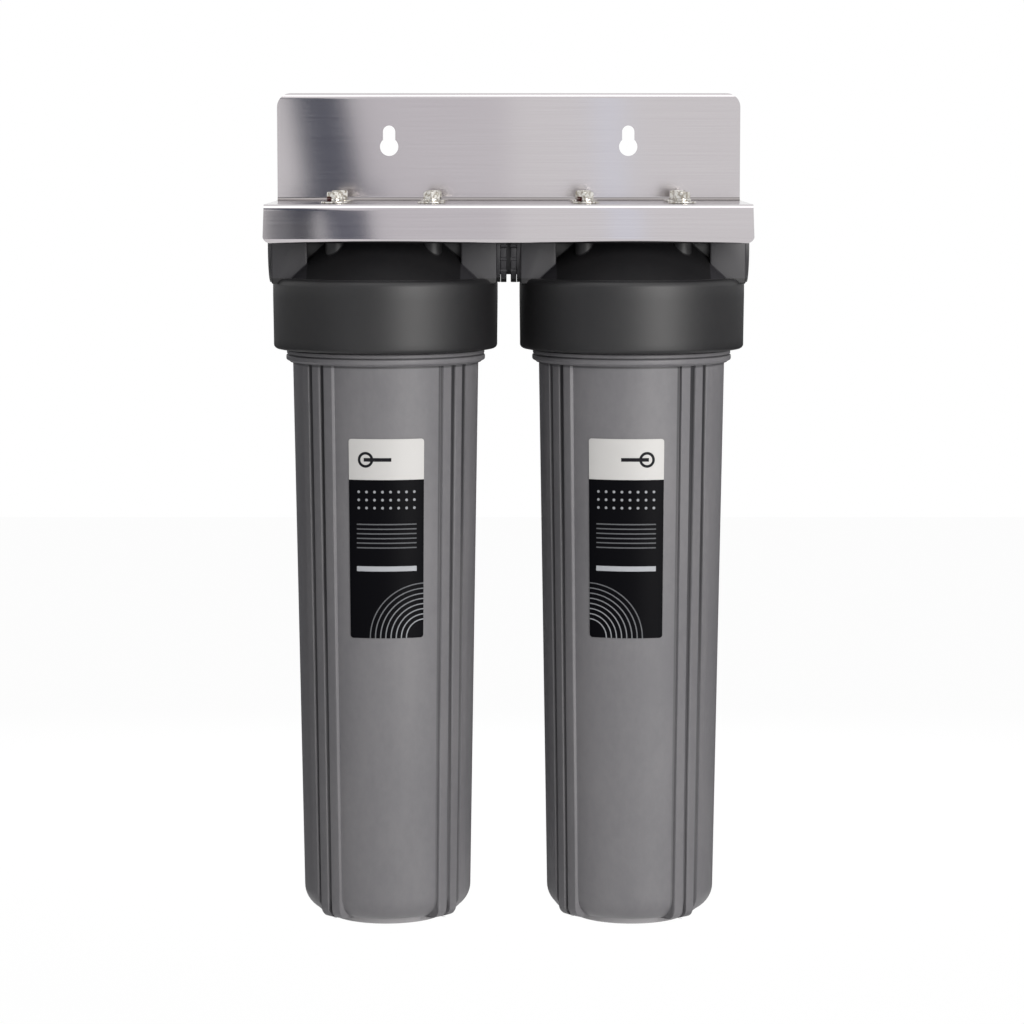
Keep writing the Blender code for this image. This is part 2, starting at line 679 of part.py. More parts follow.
def sump_outer_profile():
    groove_half = O_RING_WIDTH / 2 + SEAT_GAP
    groove_foot = RIM_DROP + O_RING_HEIGHT - RUNNING_GAP + 2 * SEAT_GAP
    groove_radius = FLANGE_RADIUS - FLANGE_GROOVE_DEPTH
    corner_drop = SUMP_BASE_DROP - SUMP_CORNER_RADIUS
    foot_drop = SUMP_BASE_DROP + FOOT_RING_HEIGHT
    return (
        [(0.0, -RIM_DROP), (O_RING_RADIUS - groove_half, -RIM_DROP),
         (O_RING_RADIUS - groove_half, -groove_foot), (O_RING_RADIUS + groove_half, -groove_foot),
         (O_RING_RADIUS + groove_half, -RIM_DROP), (NECK_RADIUS, -RIM_DROP),
         (NECK_RADIUS, -FLANGE_DROP), (FLANGE_RADIUS, -FLANGE_DROP),
         (FLANGE_RADIUS, -FLANGE_DROP - FLANGE_HEIGHT),
         (groove_radius, -FLANGE_DROP - FLANGE_HEIGHT - FLANGE_GROOVE_HEIGHT / 2),
         (BEAD_RADIUS, -BEAD_DROP), (BEAD_RADIUS, -BEAD_DROP - BEAD_HEIGHT),
         (PANEL_TOP_RADIUS + RIB_HEIGHT, -PANEL_DROP), (PANEL_TOP_RADIUS, -PANEL_DROP)]
        + arc((PANEL_FOOT_RADIUS - SUMP_CORNER_RADIUS, -corner_drop), SUMP_CORNER_RADIUS, 0, -90)
        + [(FOOT_RING_RADIUS, -SUMP_BASE_DROP), (FOOT_RING_RADIUS - FOOT_RING_TAPER, -foot_drop),
           (FOOT_RING_RADIUS - FOOT_RING_WIDTH, -foot_drop),
           (FOOT_RING_RADIUS - FOOT_RING_WIDTH, -SUMP_BASE_DROP), (0.0, -SUMP_BASE_DROP)]
    )


def sump_cavity_profile():
    """The bowl's hollow, with the seat ring and spigot under the cartridge left standing."""
    corner = SUMP_CORNER_RADIUS - SUMP_WALL
    wall_foot = PANEL_FOOT_RADIUS - SUMP_WALL
    spigot_top = SUMP_SEAT_DROP - SPIGOT_LENGTH
    return (
        [(0.0, -RIM_DROP + CUT_OVERRUN), (NECK_BORE_RADIUS, -RIM_DROP + CUT_OVERRUN),
         (NECK_BORE_RADIUS, -PANEL_DROP)]
        + arc((wall_foot - corner, -SUMP_FLOOR_DROP + corner), corner, 0, -90)
        + [(POST_RADIUS, -SUMP_FLOOR_DROP), (SEAT_RING_RADIUS, -SUMP_SEAT_DROP),
           (SPIGOT_RADIUS, -SUMP_SEAT_DROP), (SPIGOT_RADIUS, -spigot_top - SPIGOT_CHAMFER),
           (SPIGOT_RADIUS - SPIGOT_CHAMFER, -spigot_top), (0.0, -spigot_top)]
    )


def rib_outline(corner_radius, base_drop):
    """One rib's side, in radius and height: its outer edge follows the tapered wall."""
    top = PANEL_DROP - BEAD_TAPER
    corner_drop = base_drop - corner_radius
    outer_top = panel_radius(top) + RIB_HEIGHT
    outer_foot = panel_radius(corner_drop) + RIB_HEIGHT
    inner_foot = PANEL_FOOT_RADIUS - SUMP_CORNER_RADIUS
    inner_wall = PANEL_FOOT_RADIUS - SUMP_WALL / 2
    return (
        [(inner_wall, -top), (outer_top, -top)]
        + arc((outer_foot - corner_radius, -corner_drop), corner_radius, 0, -90)
        + [(inner_foot, -base_drop), (inner_foot, -base_drop + corner_radius / 2),
           (inner_wall, -base_drop + SUMP_CORNER_RADIUS)]
    )


def ribs_mesh():
    shape = bmesh.new()
    base_drop = SUMP_BASE_DROP - SEAT_GAP
    for index, angle in enumerate(RIB_ANGLES):
        last = index == len(RIB_ANGLES) - 1
        corner = SUMP_CORNER_RADIUS + RIB_HEIGHT if last else LONG_RIB_CORNER_RADIUS
        outline = [(-RIB_WIDTH / 2, -radius, height) for radius, height in rib_outline(corner, base_drop)]
        for face in (0.0, math.pi):
            for hand in (-1, 1):
                rib = bmesh.new()
                extruded("rib", outline, (RIB_WIDTH, 0, 0), rib)
                turn_by = Matrix.Rotation(face + hand * math.radians(angle), 4, "Z")
                bmesh.ops.transform(rib, matrix=turn_by, verts=rib.verts[:])
                part = mesh_from("rib", rib)
                shape.from_mesh(part)
                bpy.data.meshes.remove(part)
    return mesh_from("ribs", shape)


def make_sump(side, axis):
    sump = turned_part(f"{side}_sump", sump_outer_profile(), BIG_SIDES, "grey_plastic", axis,
                       closed=False)
    sump_turn = math.radians(SUMP_TURN[side])
    ribs = add_tool(f"{side}_ribs", ribs_mesh(), axis)
    ribs.rotation_euler.z = sump_turn
    join(sump, ribs)
    cut(sump, turned_tool(f"{side}_sump_cavity", sump_cavity_profile(), BIG_SIDES, axis))
    lift = THREAD_PITCH * THREAD_TURNS
    male = thread_mesh("male_thread", NECK_RADIUS, 1, -THREAD_DROP - lift)
    join(sump, add_tool(f"{side}_male_thread", male, axis))
    shade_round(sump)


def make_o_ring(side, axis):
    top = SEAL_DROP + SEAT_GAP
    middle = top + O_RING_HEIGHT / 2
    section = [(O_RING_RADIUS + O_RING_WIDTH / 2 * math.cos(a), -middle + O_RING_HEIGHT / 2 * math.sin(a))
               for a in (math.tau * (0.25 - i / O_RING_SIDES) for i in range(O_RING_SIDES))]
    shade_round(turned_part(f"{side}_o_ring", section, BIG_SIDES, "seal_rubber", axis),
                O_RING_SHADE_ANGLE)


def make_label(side, axis):
    """A thin curved film that follows the front panel's taper."""
    foot_drop = LABEL_DROP + LABEL_HEIGHT
    section = []
    for out, drop in ((SEAT_GAP, LABEL_DROP), (SEAT_GAP + LABEL_THICKNESS, LABEL_DROP),
                      (SEAT_GAP + LABEL_THICKNESS, foot_drop), (SEAT_GAP, foot_drop)):
        section.append((panel_radius(drop) + out, -drop))
    sweep = LABEL_WIDTH / panel_radius(LABEL_DROP + LABEL_HEIGHT / 2)
    start = -math.pi / 2 - sweep / 2 + math.radians(LABEL_TURN[side])
    add_part(f"{side}_label", swept_mesh("label", section, start, sweep, 0.0, LABEL_STEPS),
             "label_film", axis)


# Cartridges

def cap_profile(drop, up):
    """A cup-shaped end cap whose plate starts at a drop, its rim reaching along the media."""
    plate_face = -drop
    inside = plate_face - up * CAP_PLATE
    rim_end = inside - up * CAP_RIM_HEIGHT
    rim_inner = CARTRIDGE_RADIUS - CAP_RIM_WALL
    points = [(CAP_HOLE_RADIUS, plate_face), (CARTRIDGE_RADIUS, plate_face),
              (CARTRIDGE_RADIUS, rim_end), (rim_inner, rim_end), (rim_inner, inside),
              (CAP_HOLE_RADIUS, inside)]
    return points if up > 0 else points[::-1]


def make_cartridge_ends(side, axis):
    cap_foot_drop = CARTRIDGE_FOOT_DROP - GASKET_THICKNESS - SEAT_GAP
    for name, profile in (("top", cap_profile(CAP_DROP, 1)), ("bottom", cap_profile(cap_foot_drop, -1))):
        turned_part(f"{side}_{name}_cap", profile, MIDDLE_SIDES, "white_plastic", axis)
    for name, top in (("top", CARTRIDGE_TOP_DROP), ("bottom", CARTRIDGE_FOOT_DROP - GASKET_THICKNESS)):
        turned_part(f"{side}_{name}_gasket",
                    ring(CAP_HOLE_RADIUS, GASKET_RADIUS, -top, -top - GASKET_THICKNESS),
                    MIDDLE_SIDES, "seal_rubber", axis)


def make_pleated_cartridge(side, axis):
    foot = -MEDIA_DROP - MEDIA_LENGTH
    outline = []
    for i in range(2 * PLEAT_COUNT):
        radius = MEDIA_RADIUS if i % 2 == 0 else PLEAT_ROOT_RADIUS
        angle = math.pi * i / PLEAT_COUNT
        outline.append((radius * math.cos(angle), radius * math.sin(angle), foot))
    media = add_part(f"{side}_pleated_media", extruded("pleats", outline, (0, 0, MEDIA_LENGTH)),
                     "filter_paper", axis)
    bore = [(CORE_RADIUS + SEAT_GAP, MEDIA_LENGTH + 2 * CUT_OVERRUN, (0, 0, foot + MEDIA_LENGTH / 2),
             (0, 0, 1), MIDDLE_SIDES)]
    cut(media, add_tool(f"{side}_media_bore", rods_mesh("media_bore", bore), axis))
    turned_part(f"{side}_core_tube", ring(CORE_RADIUS - CORE_WALL, CORE_RADIUS, -MEDIA_DROP, foot),
                MIDDLE_SIDES, "white_plastic", axis)


def make_carbon_cartridge(side, axis):
    foot = -MEDIA_DROP - MEDIA_LENGTH
    wrap_inner = MEDIA_RADIUS - WRAP_THICKNESS
    turned_part(f"{side}_outer_wrap", ring(wrap_inner, MEDIA_RADIUS, -MEDIA_DROP, foot),
                MIDDLE_SIDES, "filter_paper", axis)
    turned_part(f"{side}_carbon_block",
                ring(CARBON_BORE_RADIUS, wrap_inner - SEAT_GAP, -MEDIA_DROP, foot),
                MIDDLE_SIDES, "carbon", axis)


def make_housing(side):
    axis = bpy.data.objects.new(f"{side}_axis", None)
    axis.location = (SIDE_OF[side] * HOUSING_SPACING / 2, AXIS_Y, SHELF_TOP)
    PARTS.objects.link(axis)
    make_head(side, axis)
    make_sump(side, axis)
    make_o_ring(side, axis)
    make_label(side, axis)
    make_cartridge_ends(side, axis)
    make_fasteners(side)
    return axis


clear_scene()
PARTS = make_collection("whole_house_water_filter")
TOOLS = make_collection("cutters")
MATERIALS = make_materials()

make_bracket()
left_axis = make_housing("left")
right_axis = make_housing("right")
make_pleated_cartridge("left", left_axis)
make_carbon_cartridge("right", right_axis)
make_coupling()
bpy.context.view_layer.update()
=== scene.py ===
# Twin whole house water filter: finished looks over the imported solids
import json
import math
import bmesh
import bpy
from mathutils import Matrix, Vector

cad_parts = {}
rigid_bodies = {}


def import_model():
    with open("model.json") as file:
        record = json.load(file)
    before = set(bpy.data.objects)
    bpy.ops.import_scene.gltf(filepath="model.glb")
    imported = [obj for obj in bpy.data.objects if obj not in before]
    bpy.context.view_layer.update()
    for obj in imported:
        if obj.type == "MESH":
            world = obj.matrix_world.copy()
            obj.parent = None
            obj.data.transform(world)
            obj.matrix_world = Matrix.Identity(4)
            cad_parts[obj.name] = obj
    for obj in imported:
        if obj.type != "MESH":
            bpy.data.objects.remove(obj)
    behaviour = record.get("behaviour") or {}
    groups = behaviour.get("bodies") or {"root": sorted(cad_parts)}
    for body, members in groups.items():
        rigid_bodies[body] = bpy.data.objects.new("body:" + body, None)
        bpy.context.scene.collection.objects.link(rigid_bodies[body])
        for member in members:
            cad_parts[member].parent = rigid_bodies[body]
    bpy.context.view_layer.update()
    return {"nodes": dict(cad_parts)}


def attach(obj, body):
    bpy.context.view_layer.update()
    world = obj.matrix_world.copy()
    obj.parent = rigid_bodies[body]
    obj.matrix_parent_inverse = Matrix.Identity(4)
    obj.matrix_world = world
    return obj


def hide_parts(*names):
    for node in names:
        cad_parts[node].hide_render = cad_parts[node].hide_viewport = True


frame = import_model()
print("frame loaded:", len(frame["nodes"]), "nodes")

# places shared by all pieces, in metres: drops count down from the shelf's top
shelfTop = -0.089
axisX = 0.101
axisY = -0.110
portDrop = 0.0347
boltSpread = (0.039, 0.0385)
fit = 0.0003
overrun = 0.002
sharpAngle = 38
sideSign = {"left": -1, "right": 1}

# the spigots that hold a cartridge, alike in the head and on the sump's floor
spigot = {"radius": 0.0135, "chamfer": 0.0012, "bore": 0.010, "seat": 0.022}

# sumps: the panel line and the rib line are spun together and mixed by angle
sump = {
    "panelTop": (0.0761, 0.1297),
    "panelFoot": 0.0690,
    "baseDrop": 0.5853,
    "corner": 0.0195,
    "ribHeight": 0.0023,
    "ribLift": 0.0003,
    "ribWidth": 0.0088,
    "ribEdge": 0.0008,
    "ribAngles": (38.2, 48.0, 57.8),
    "ribCorners": (0.0095, 0.0095, 0.0200),
    "straightSteps": 5,
    "cornerSteps": 12,
    "steps": 720,
    "turn": {"left": 3.3, "right": -5.6},
    "neckRadius": 0.0786,
    "neckBore": 0.0695,
    "rimDrop": 0.0678,
    "spigotTop": 0.5638,
    "seatDrop": 0.5753,
    "seatFoot": 0.031,
    "floor": (0.0625, 0.5798),
    "floorRound": 0.0130,
    "sealGroove": (0.0712, 0.0768, 0.0716),
    "flange": (0.0811, 0.1198, 0.1226),
    "flangeGroove": (0.0800, 0.1233),
    "bead": (0.0816, 0.1241, 0.1277),
    "beadFoot": (0.0784, 0.1293),
    "footRingTop": (0.0410, 0.048),
    "footRingLow": (0.0412, 0.0472),
    "footRingDrop": 0.5907,
}

# labels: the film's size and place, and how far it is turned from the front
label = {"width": 0.061, "height": 0.1618, "drop": 0.1878, "thick": 0.0003, "corner": 0.0024, "strips": 40,
         "turn": {"left": 2.2, "right": -5.0}}


# shader values that add, multiply and compare like numbers
class Wire:
    def __init__(self, paint, socket):
        self.paint = paint
        self.socket = socket

    def maths(self, operation, other=None, swap=False):
        pair = (other, self) if swap else (self, other)
        return self.paint.node("ShaderNodeMath", {"operation": operation}, dict(enumerate(pair)))

    def __add__(self, other):
        return self.maths("ADD", other)

    def __sub__(self, other):
        return self.maths("SUBTRACT", other)

    def __rsub__(self, other):
        return self.maths("SUBTRACT", other, swap=True)

    def __mul__(self, other):
        return self.maths("MULTIPLY", other)

    def __truediv__(self, other):
        return self.maths("DIVIDE", other)

    def __abs__(self):
        return self.maths("ABSOLUTE")

    __radd__ = __add__
    __rmul__ = __mul__

    # 0 below the edge, 1 above it, with a soft step between
    def above(self, edge, soft):
        return self.paint.node("ShaderNodeMapRange", {"interpolation_type": "SMOOTHSTEP"},
                               {"Value": self, "From Min": edge - soft / 2, "From Max": edge + soft / 2})

    def below(self, edge, soft):
        return 1 - self.above(edge, soft)

    def between(self, low, high, soft):
        return self.above(low, soft) * self.below(high, soft)

    # carries 0..1 to a range of its own
    def spread(self, low, high):
        return self * (high - low) + low


def distance(across, along):
    return (across * across + along * along).maths("SQRT")


class Paint:
    def __init__(self, name, **constants):
        self.material = bpy.data.materials.new(name)
        self.material.use_nodes = True
        self.tree = self.material.node_tree
        self.tree.nodes.clear()
        self.shader = self.tree.nodes.new("ShaderNodeBsdfPrincipled")
        self.output = self.tree.nodes.new("ShaderNodeOutputMaterial")
        self.tree.links.new(self.shader.outputs[0], self.output.inputs[0])
        for socket, value in constants.items():
            self.finish(socket.replace("_", " "), value)

    def feed(self, socket, value):
        if isinstance(value, Wire):
            self.tree.links.new(value.socket, socket)
        elif value is not None:
            socket.default_value = value

    def finish(self, socket, value):
        self.feed(self.shader.inputs[socket], value)

    def node(self, kind, settings=None, sockets=None, out=0):
        made = self.tree.nodes.new(kind)
        for name, value in (settings or {}).items():
            setattr(made, name, value)
        for socket, value in (sockets or {}).items():
            self.feed(made.inputs[socket], value)
        return Wire(self, made.outputs[out])

    def place(self):
        return self.node("ShaderNodeTexCoord", out=3)

    def axes(self):
        split = self.node("ShaderNodeSeparateXYZ", None, {0: self.place()})
        return [Wire(self, socket) for socket in split.socket.node.outputs]

    def scaled(self, scale):
        return self.node("ShaderNodeMapping", None, {"Vector": self.place(), "Scale": scale})

    def noise(self, scale, detail=2, stretch=(1, 1, 1), rough=0.5):
        return self.node("ShaderNodeTexNoise", None,
                         {"Vector": self.scaled(stretch), "Scale": scale, "Detail": detail,
                          "Roughness": rough})

    def blend(self, share, first, second):
        return self.node("ShaderNodeMix", {"data_type": "RGBA"}, {0: share, 6: first, 7: second}, out=2)

    # angle in degrees round a housing's axis from its turned front, and distance from the axis
    def round(self, x, y, side, turn):
        out = x - sideSign[side] * axisX
        ahead = axisY - y
        angle = out.maths("ARCTAN2", ahead) * (180 / math.pi) - turn
        return angle, distance(out, ahead)

    def bump(self, height, strength, distance):
        bumped = self.node("ShaderNodeBump", None,
                           {"Height": height, "Strength": strength, "Distance": distance})
        self.finish("Normal", bumped)


# the same helpers for the world's own nodes
class WorldPaint(Paint):
    def __init__(self, world):
        world.use_nodes = True
        self.tree = world.node_tree
        self.tree.nodes.clear()


# brushed stainless sheet: long fine streaks along X, faint cloudiness, and painted shade in the fold behind
# the shelf
steelLook = {"pale": (0.585, 0.555, 0.57, 1), "deep": (0.545, 0.515, 0.53, 1), "rough": (0.11, 0.16),
             "foldShade": (0.12, 0.11, 0.105, 1), "foldShadeShare": 0.8, "foldShadeUp": (-0.0005, 0.0024),
             "foldShadeOut": (-0.034, -0.0114), "streaks": (10, 1500, 1500), "broadStreaks": (3, 420, 420)}


def makeSteel():
    paint = Paint("brushedStainless", Metallic=1.0)
    fine = paint.noise(1, 3, steelLook["streaks"])
    broad = paint.noise(1, 2, steelLook["broadStreaks"])
    cloud = paint.noise(14, 2)
    grain = fine * 0.70 + broad * 0.20 + cloud * 0.10
    y, z = paint.axes()[1:]
    foldShadeLow, foldShadeHigh = (shelfTop + rise for rise in steelLook["foldShadeUp"])
    # painted shade: a dark band in the concave fold where the back plate meets the shelf, and on the shelf's
    # top just in front of it
    foldShade = z.between(foldShadeLow, foldShadeHigh, 0.0008) * y.between(*steelLook["foldShadeOut"], 0.0016)
    sheet = paint.blend(grain.above(0.5, 0.5), steelLook["deep"], steelLook["pale"])
    paint.finish("Base Color", paint.blend(foldShade * steelLook["foldShadeShare"], sheet, steelLook["foldShade"]))
    paint.finish("Roughness", grain.spread(*steelLook["rough"]))
    paint.bump(fine * 0.8 + broad * 0.2, 0.02, 0.0001)
    return paint.material


# bright zinc plate, a little yellow and spotted, with a dark red patch on the left of each head's front left
# bolt
zincLook = {"pale": (0.68, 0.665, 0.63, 1), "warm": (0.34, 0.31, 0.26, 1), "rough": (0.12, 0.30),
            "darkPatch": (0.045, 0.010, 0.009, 1), "patchReach": 0.0025, "patchSet": 0.0052, "patchBack": 0.002,
            "patchLow": 0.0015, "patchHigh": 0.0056}


def makeZinc():
    paint = Paint("zincPlate", Metallic=1.0)
    spots = paint.noise(420, 3)
    fine = paint.noise(1800, 2)
    x, y, z = paint.axes()
    look = zincLook
    spreadX, spreadY = boltSpread
    # a dark red patch on the left of the two front left bolts, low on the head and washers
    patch = y.below(axisY - spreadY + look["patchBack"], 0.001)
    patch = patch * z.between(shelfTop + look["patchLow"], shelfTop + look["patchHigh"], 0.0006)
    aside = [abs(x - (way * axisX - spreadX - look["patchSet"])).below(look["patchReach"], 0.0008)
             for way in sideSign.values()]
    plated = paint.blend(spots.above(0.52, 0.25), look["pale"], look["warm"])
    paint.finish("Base Color", paint.blend(patch * (aside[0] + aside[1]), plated, look["darkPatch"]))
    paint.finish("Roughness", fine.spread(*look["rough"]))
    paint.bump(fine, 0.12, 0.0002)
    return paint.material


# painted shade on a sump, between its ribs, beside one inner rib and under its bead and flange, and a paler
# foot ring
grooveShadeAndFootLook = {
    "depth": 0.90,
    "paintedShade": (0.012, 0.012, 0.014, 1),
    "ribSpan": (40.6, 55.4),
    "innerSpan": (32.9, 35.0),
    "floorFade": (0.45, 1.0),
    "innerFade": (0.3, 0.72),
    "high": -0.23,
    "low": -0.66,
    "beadGap": (-0.0016, 0.0004),
    "beadShare": 0.6,
    "flangeGap": (-0.0005, 0.0005),
    "flangeShare": 0.8,
    "paleFoot": 0.42,
    "paleFootTone": (0.44, 0.43, 0.44, 1),
}


# 1 where shade is painted: low places by angle and distance from the axis, one inner rib edge on the right,
#                           and two thin level bands
def paintedGrooveShade(paint, side):
    look = grooveShadeAndFootLook
    x, y, z = paint.axes()
    angle, reach = paint.round(x, y, side, sump["turn"][side])
    folded = 90 - abs(abs(angle) - 90)
    top, topDrop = sump["panelTop"]
    slope = (top - sump["panelFoot"]) / (sump["baseDrop"] - sump["corner"] - topDrop)
    stand = reach - ((z + (topDrop - shelfTop)) * slope + top)
    height = (z - look["low"]) / (look["high"] - look["low"])
    floor = stand.below(0.0015, 0.0020) * folded.between(*look["ribSpan"], 1.0)
    floor = floor * height.spread(*look["floorFade"])
    # painted shade only right of the front, where the inner rib's flank faces away from the key lamp
    innerFoot = angle.between(*look["innerSpan"], 1.0) * stand.below(0.0016, 0.0012)
    innerFoot = innerFoot * height.spread(*look["innerFade"])
    beadLow, beadHigh = (shelfTop - topDrop + rise for rise in look["beadGap"])
    underBead = z.between(beadLow, beadHigh, 0.0008) * look["beadShare"]
    flangeLow, flangeHigh = (shelfTop - sump["flangeGroove"][1] + rise for rise in look["flangeGap"])
    underFlange = z.between(flangeLow, flangeHigh, 0.0006) * look["flangeShare"]
    return (floor + innerFoot + underBead + underFlange).maths("MINIMUM", 1.0)


# painted light: the heads' port block ends are painted paler than their bands, as if lit from the front, and
# the cone between them is dull
blockLightLook = {
    "colour": (0.025, 0.0242, 0.0275, 1),
    "inner": 0.0621,
    "foot": 0.0606,
    "coneReach": 0.0207,
    "coneThick": 0.0012,
    "coneDrops": (0.0604, 0.0300),
    "coneShare": 0.85,
    "dullRough": 0.9,
    "dullSpecular": 0.06,
}


def blockLightShares(paint):
    look = blockLightLook
    x, y, z = paint.axes()
    aside = abs(abs(x) - axisX)
    litEnds = aside.above(look["inner"], 0.0006) * z.above(shelfTop - look["foot"], 0.0006)
    reach = distance(aside, y - axisY)
    cone = abs(reach + z - (shelfTop + look["coneReach"])).below(look["coneThick"], 0.0006)
    low, high = (shelfTop - drop for drop in look["coneDrops"])
    return litEnds, cone * z.between(low, high, 0.0004)


# moulded plastic: fine spark grain, soft flow clouds, paler where hands and boxes rub
def makePlastic(name, deep, pale, rough, grain=2400, specular=0.5, grooveShadeSide=None, blocks=False):
    paint = Paint(name, Specular_IOR_Level=specular)
    fine = paint.noise(grain, 2)
    flow = paint.noise(22, 3, (1, 1, 0.35))
    rub = paint.noise(170, 4, (1, 1, 0.6), 0.65)
    tone = flow * 0.6 + rub * 0.4
    colour = paint.blend(tone.above(0.5, 0.5), (*deep, 1), (*pale, 1))
    if grooveShadeSide:
        # painted shade in the grooves, by the right inner rib and under the bead and flange
        colour = paint.blend(paintedGrooveShade(paint, grooveShadeSide) * grooveShadeAndFootLook["depth"], colour, grooveShadeAndFootLook["paintedShade"])
        # the foot ring below the base is paler
        paleFoot = paint.axes()[2].below(shelfTop - sump["baseDrop"] - 0.0004, 0.0012)
        colour = paint.blend(paleFoot * grooveShadeAndFootLook["paleFoot"], colour, grooveShadeAndFootLook["paleFootTone"])
    roughness = (rub * 0.6 + fine * 0.4).spread(*rough)
    if blocks:
        litEnds, cone = blockLightShares(paint)
        # painted light: a paler colour on the block ends, for faces that catch the front light
        colour = paint.blend(litEnds, colour, blockLightLook["colour"])
        dull = paint.node("ShaderNodeBsdfPrincipled", None,
                          {"Base Color": colour, "Roughness": blockLightLook["dullRough"],
                           "Specular IOR Level": blockLightLook["dullSpecular"]})
        shown = Wire(paint, paint.shader.outputs[0])
        paint.feed(paint.output.inputs[0], paint.node("ShaderNodeMixShader", None, {
            0: cone * blockLightLook["coneShare"], 1: shown, 2: dull}))
    paint.finish("Base Color", colour)
    paint.finish("Roughness", roughness)
    paint.bump(fine, 0.10, 0.0003)
    return paint.material


# label film: a silver head with a ring and bar, over a black field of dots, lines, a bar and arcs
labelLook = {
    "silver": (0.43, 0.425, 0.42, 1),
    "black": (0.0012, 0.0012, 0.0020, 1),
    "arc": (0.30, 0.31, 0.33, 1),
    "headFoot": -0.3098,
    "foot": -0.4384,
    "halfWidth": 0.0305,
    "margin": 0.006,
    "arcPitch": 0.0042,
    "arcWidth": 0.0009,
    "arcStart": 0.012,
    "arcReach": 0.046,
    "dotPitch": 0.0065,
    "dotRadius": 0.0011,
    "linePitch": 0.0038,
    "lineSpan": (-0.3655, -0.3427),
    "barSpan": (-0.3840, -0.3800),
    "ringAt": (0.017, -0.2935),
    "ringRadii": (0.0042, 0.0064),
    "headBarSpan": (-0.2950, -0.2920),
    "headBarStart": 0.004,
    "headBarLength": 0.0225,
    "ink": (0.010, 0.010, 0.012, 1),
}


def makeLabelFilm(side):
    look = labelLook
    paint = Paint(f"{side}LabelFilm", Specular_IOR_Level=0.04)
    x, y, z = paint.axes()
    angle, reachOut = paint.round(x, y, side, label["turn"][side])
    across = angle * reachOut * (math.pi / 180)
    head = z.above(look["headFoot"], 0.0003)

    # quarter arcs that grow from one lower corner
    hand = -sideSign[side]
    reach = distance(across - hand * look["halfWidth"], z - look["foot"])
    phase = (reach / look["arcPitch"]).maths("FRACT")
    arcs = abs(phase - 0.5).below(look["arcWidth"] / look["arcPitch"] / 2, 0.06)
    arcs = arcs * reach.below(look["arcReach"], 0.0006) * reach.above(look["arcStart"], 0.0006)
    fade = reach / look["arcReach"]

    # three rows of fine dots under the head
    column = (across / look["dotPitch"]).maths("FRACT") - 0.5
    row = ((z - look["headFoot"]) / look["dotPitch"]).maths("FRACT") - 0.5
    dots = distance(column, row).below(look["dotRadius"] / look["dotPitch"], 0.05)
    rowsFoot, rowsTop = (look["headFoot"] - count * look["dotPitch"] for count in (4, 0.98))
    dots = dots * z.between(rowsFoot, rowsTop, 0.0002)
    dots = dots * abs(across).below(look["halfWidth"] - look["dotPitch"] / 2, 0.0004)

    # a patch of faint level lines, and one pale bar
    inside = abs(across).below(look["halfWidth"] - look["margin"], 0.0004)
    level = abs(((z - look["headFoot"]) / look["linePitch"]).maths("FRACT") - 0.5)
    lines = level.below(0.13, 0.08) * z.between(*look["lineSpan"], 0.0002) * inside
    bar = z.between(*look["barSpan"], 0.0003) * inside

    # a ring and a short bar in the head
    ringX, ringZ = look["ringAt"]
    ring = distance(across + hand * ringX, z - ringZ).between(*look["ringRadii"], 0.0003)
    along = across * -hand + look["headBarStart"]
    shortBar = z.between(*look["headBarSpan"], 0.0003) * along.between(0.0, look["headBarLength"], 0.0003)
    headInk = (ring + shortBar).maths("MINIMUM", 1.0)

    printed = arcs * (1 - fade * 0.7) + dots * 0.8 + lines * 0.3 + bar * 1.6
    field = paint.blend(printed.maths("MINIMUM", 1.0), look["black"], look["arc"])
    top = paint.blend(headInk, look["silver"], look["ink"])
    paint.finish("Base Color", paint.blend(head, field, top))
    foil = head * (1 - headInk)
    mottle = paint.noise(900, 2)
    paint.finish("Metallic", foil * 0.12)
    paint.finish("Roughness", mottle.spread(0.34, 0.48) + foil * 0.14)
    paint.bump(paint.noise(60, 2) * 0.8 + mottle * 0.2, 0.04, 0.0004)
    return paint.material


def makePaper():
    paint = Paint("filterPaper")
    fibre = paint.noise(900, 4, (1, 1, 0.4), 0.7)
    stain = paint.noise(25, 2)
    tone = (fibre * 0.6 + stain * 0.4).above(0.5, 0.4)
    paint.finish("Base Color", paint.blend(tone, (0.80, 0.79, 0.74, 1), (0.66, 0.64, 0.58, 1)))
    paint.finish("Roughness", fibre.spread(0.80, 0.98))
    paint.bump(fibre, 0.3, 0.0004)
    return paint.material


def makeCarbon():
    paint = Paint("pressedCarbon")
    grit = paint.noise(1300, 4, rough=0.7)
    tone = grit.above(0.55, 0.2)
    paint.finish("Base Color", paint.blend(tone, (0.010, 0.010, 0.011, 1), (0.035, 0.035, 0.037, 1)))
    paint.finish("Roughness", grit.spread(0.7, 0.95))
    paint.bump(grit, 0.4, 0.0004)
    return paint.material


# each finish is a material and the slot that it stands for
steel = (makeSteel(), "stainless_sheet")
zinc = (makeZinc(), "zinc_plated_steel")
black = (makePlastic("mouldedBlack", (0.0070, 0.0070, 0.0080), (0.0105, 0.0101, 0.0108), (0.46, 0.54),
                     specular=0.42, blocks=True), "black_plastic")
greys = {side: (makePlastic(f"{side}MouldedGrey", (0.109, 0.107, 0.115), (0.135, 0.132, 0.139),
                            (0.44, 0.54), specular=0.3, grooveShadeSide=side), "grey_plastic") for side in sideSign}
labelFilms = {side: (makeLabelFilm(side), "label_film") for side in sideSign}
innerLooks = {
    "rubber": makePlastic("sealRubber", (0.012, 0.012, 0.012), (0.020, 0.020, 0.020), (0.55, 0.70), 900),
    "white": makePlastic("mouldedWhite", (0.74, 0.74, 0.72), (0.80, 0.80, 0.78), (0.40, 0.55)),
    "paper": makePaper(),
    "carbon": makeCarbon(),
}
print("materials made")


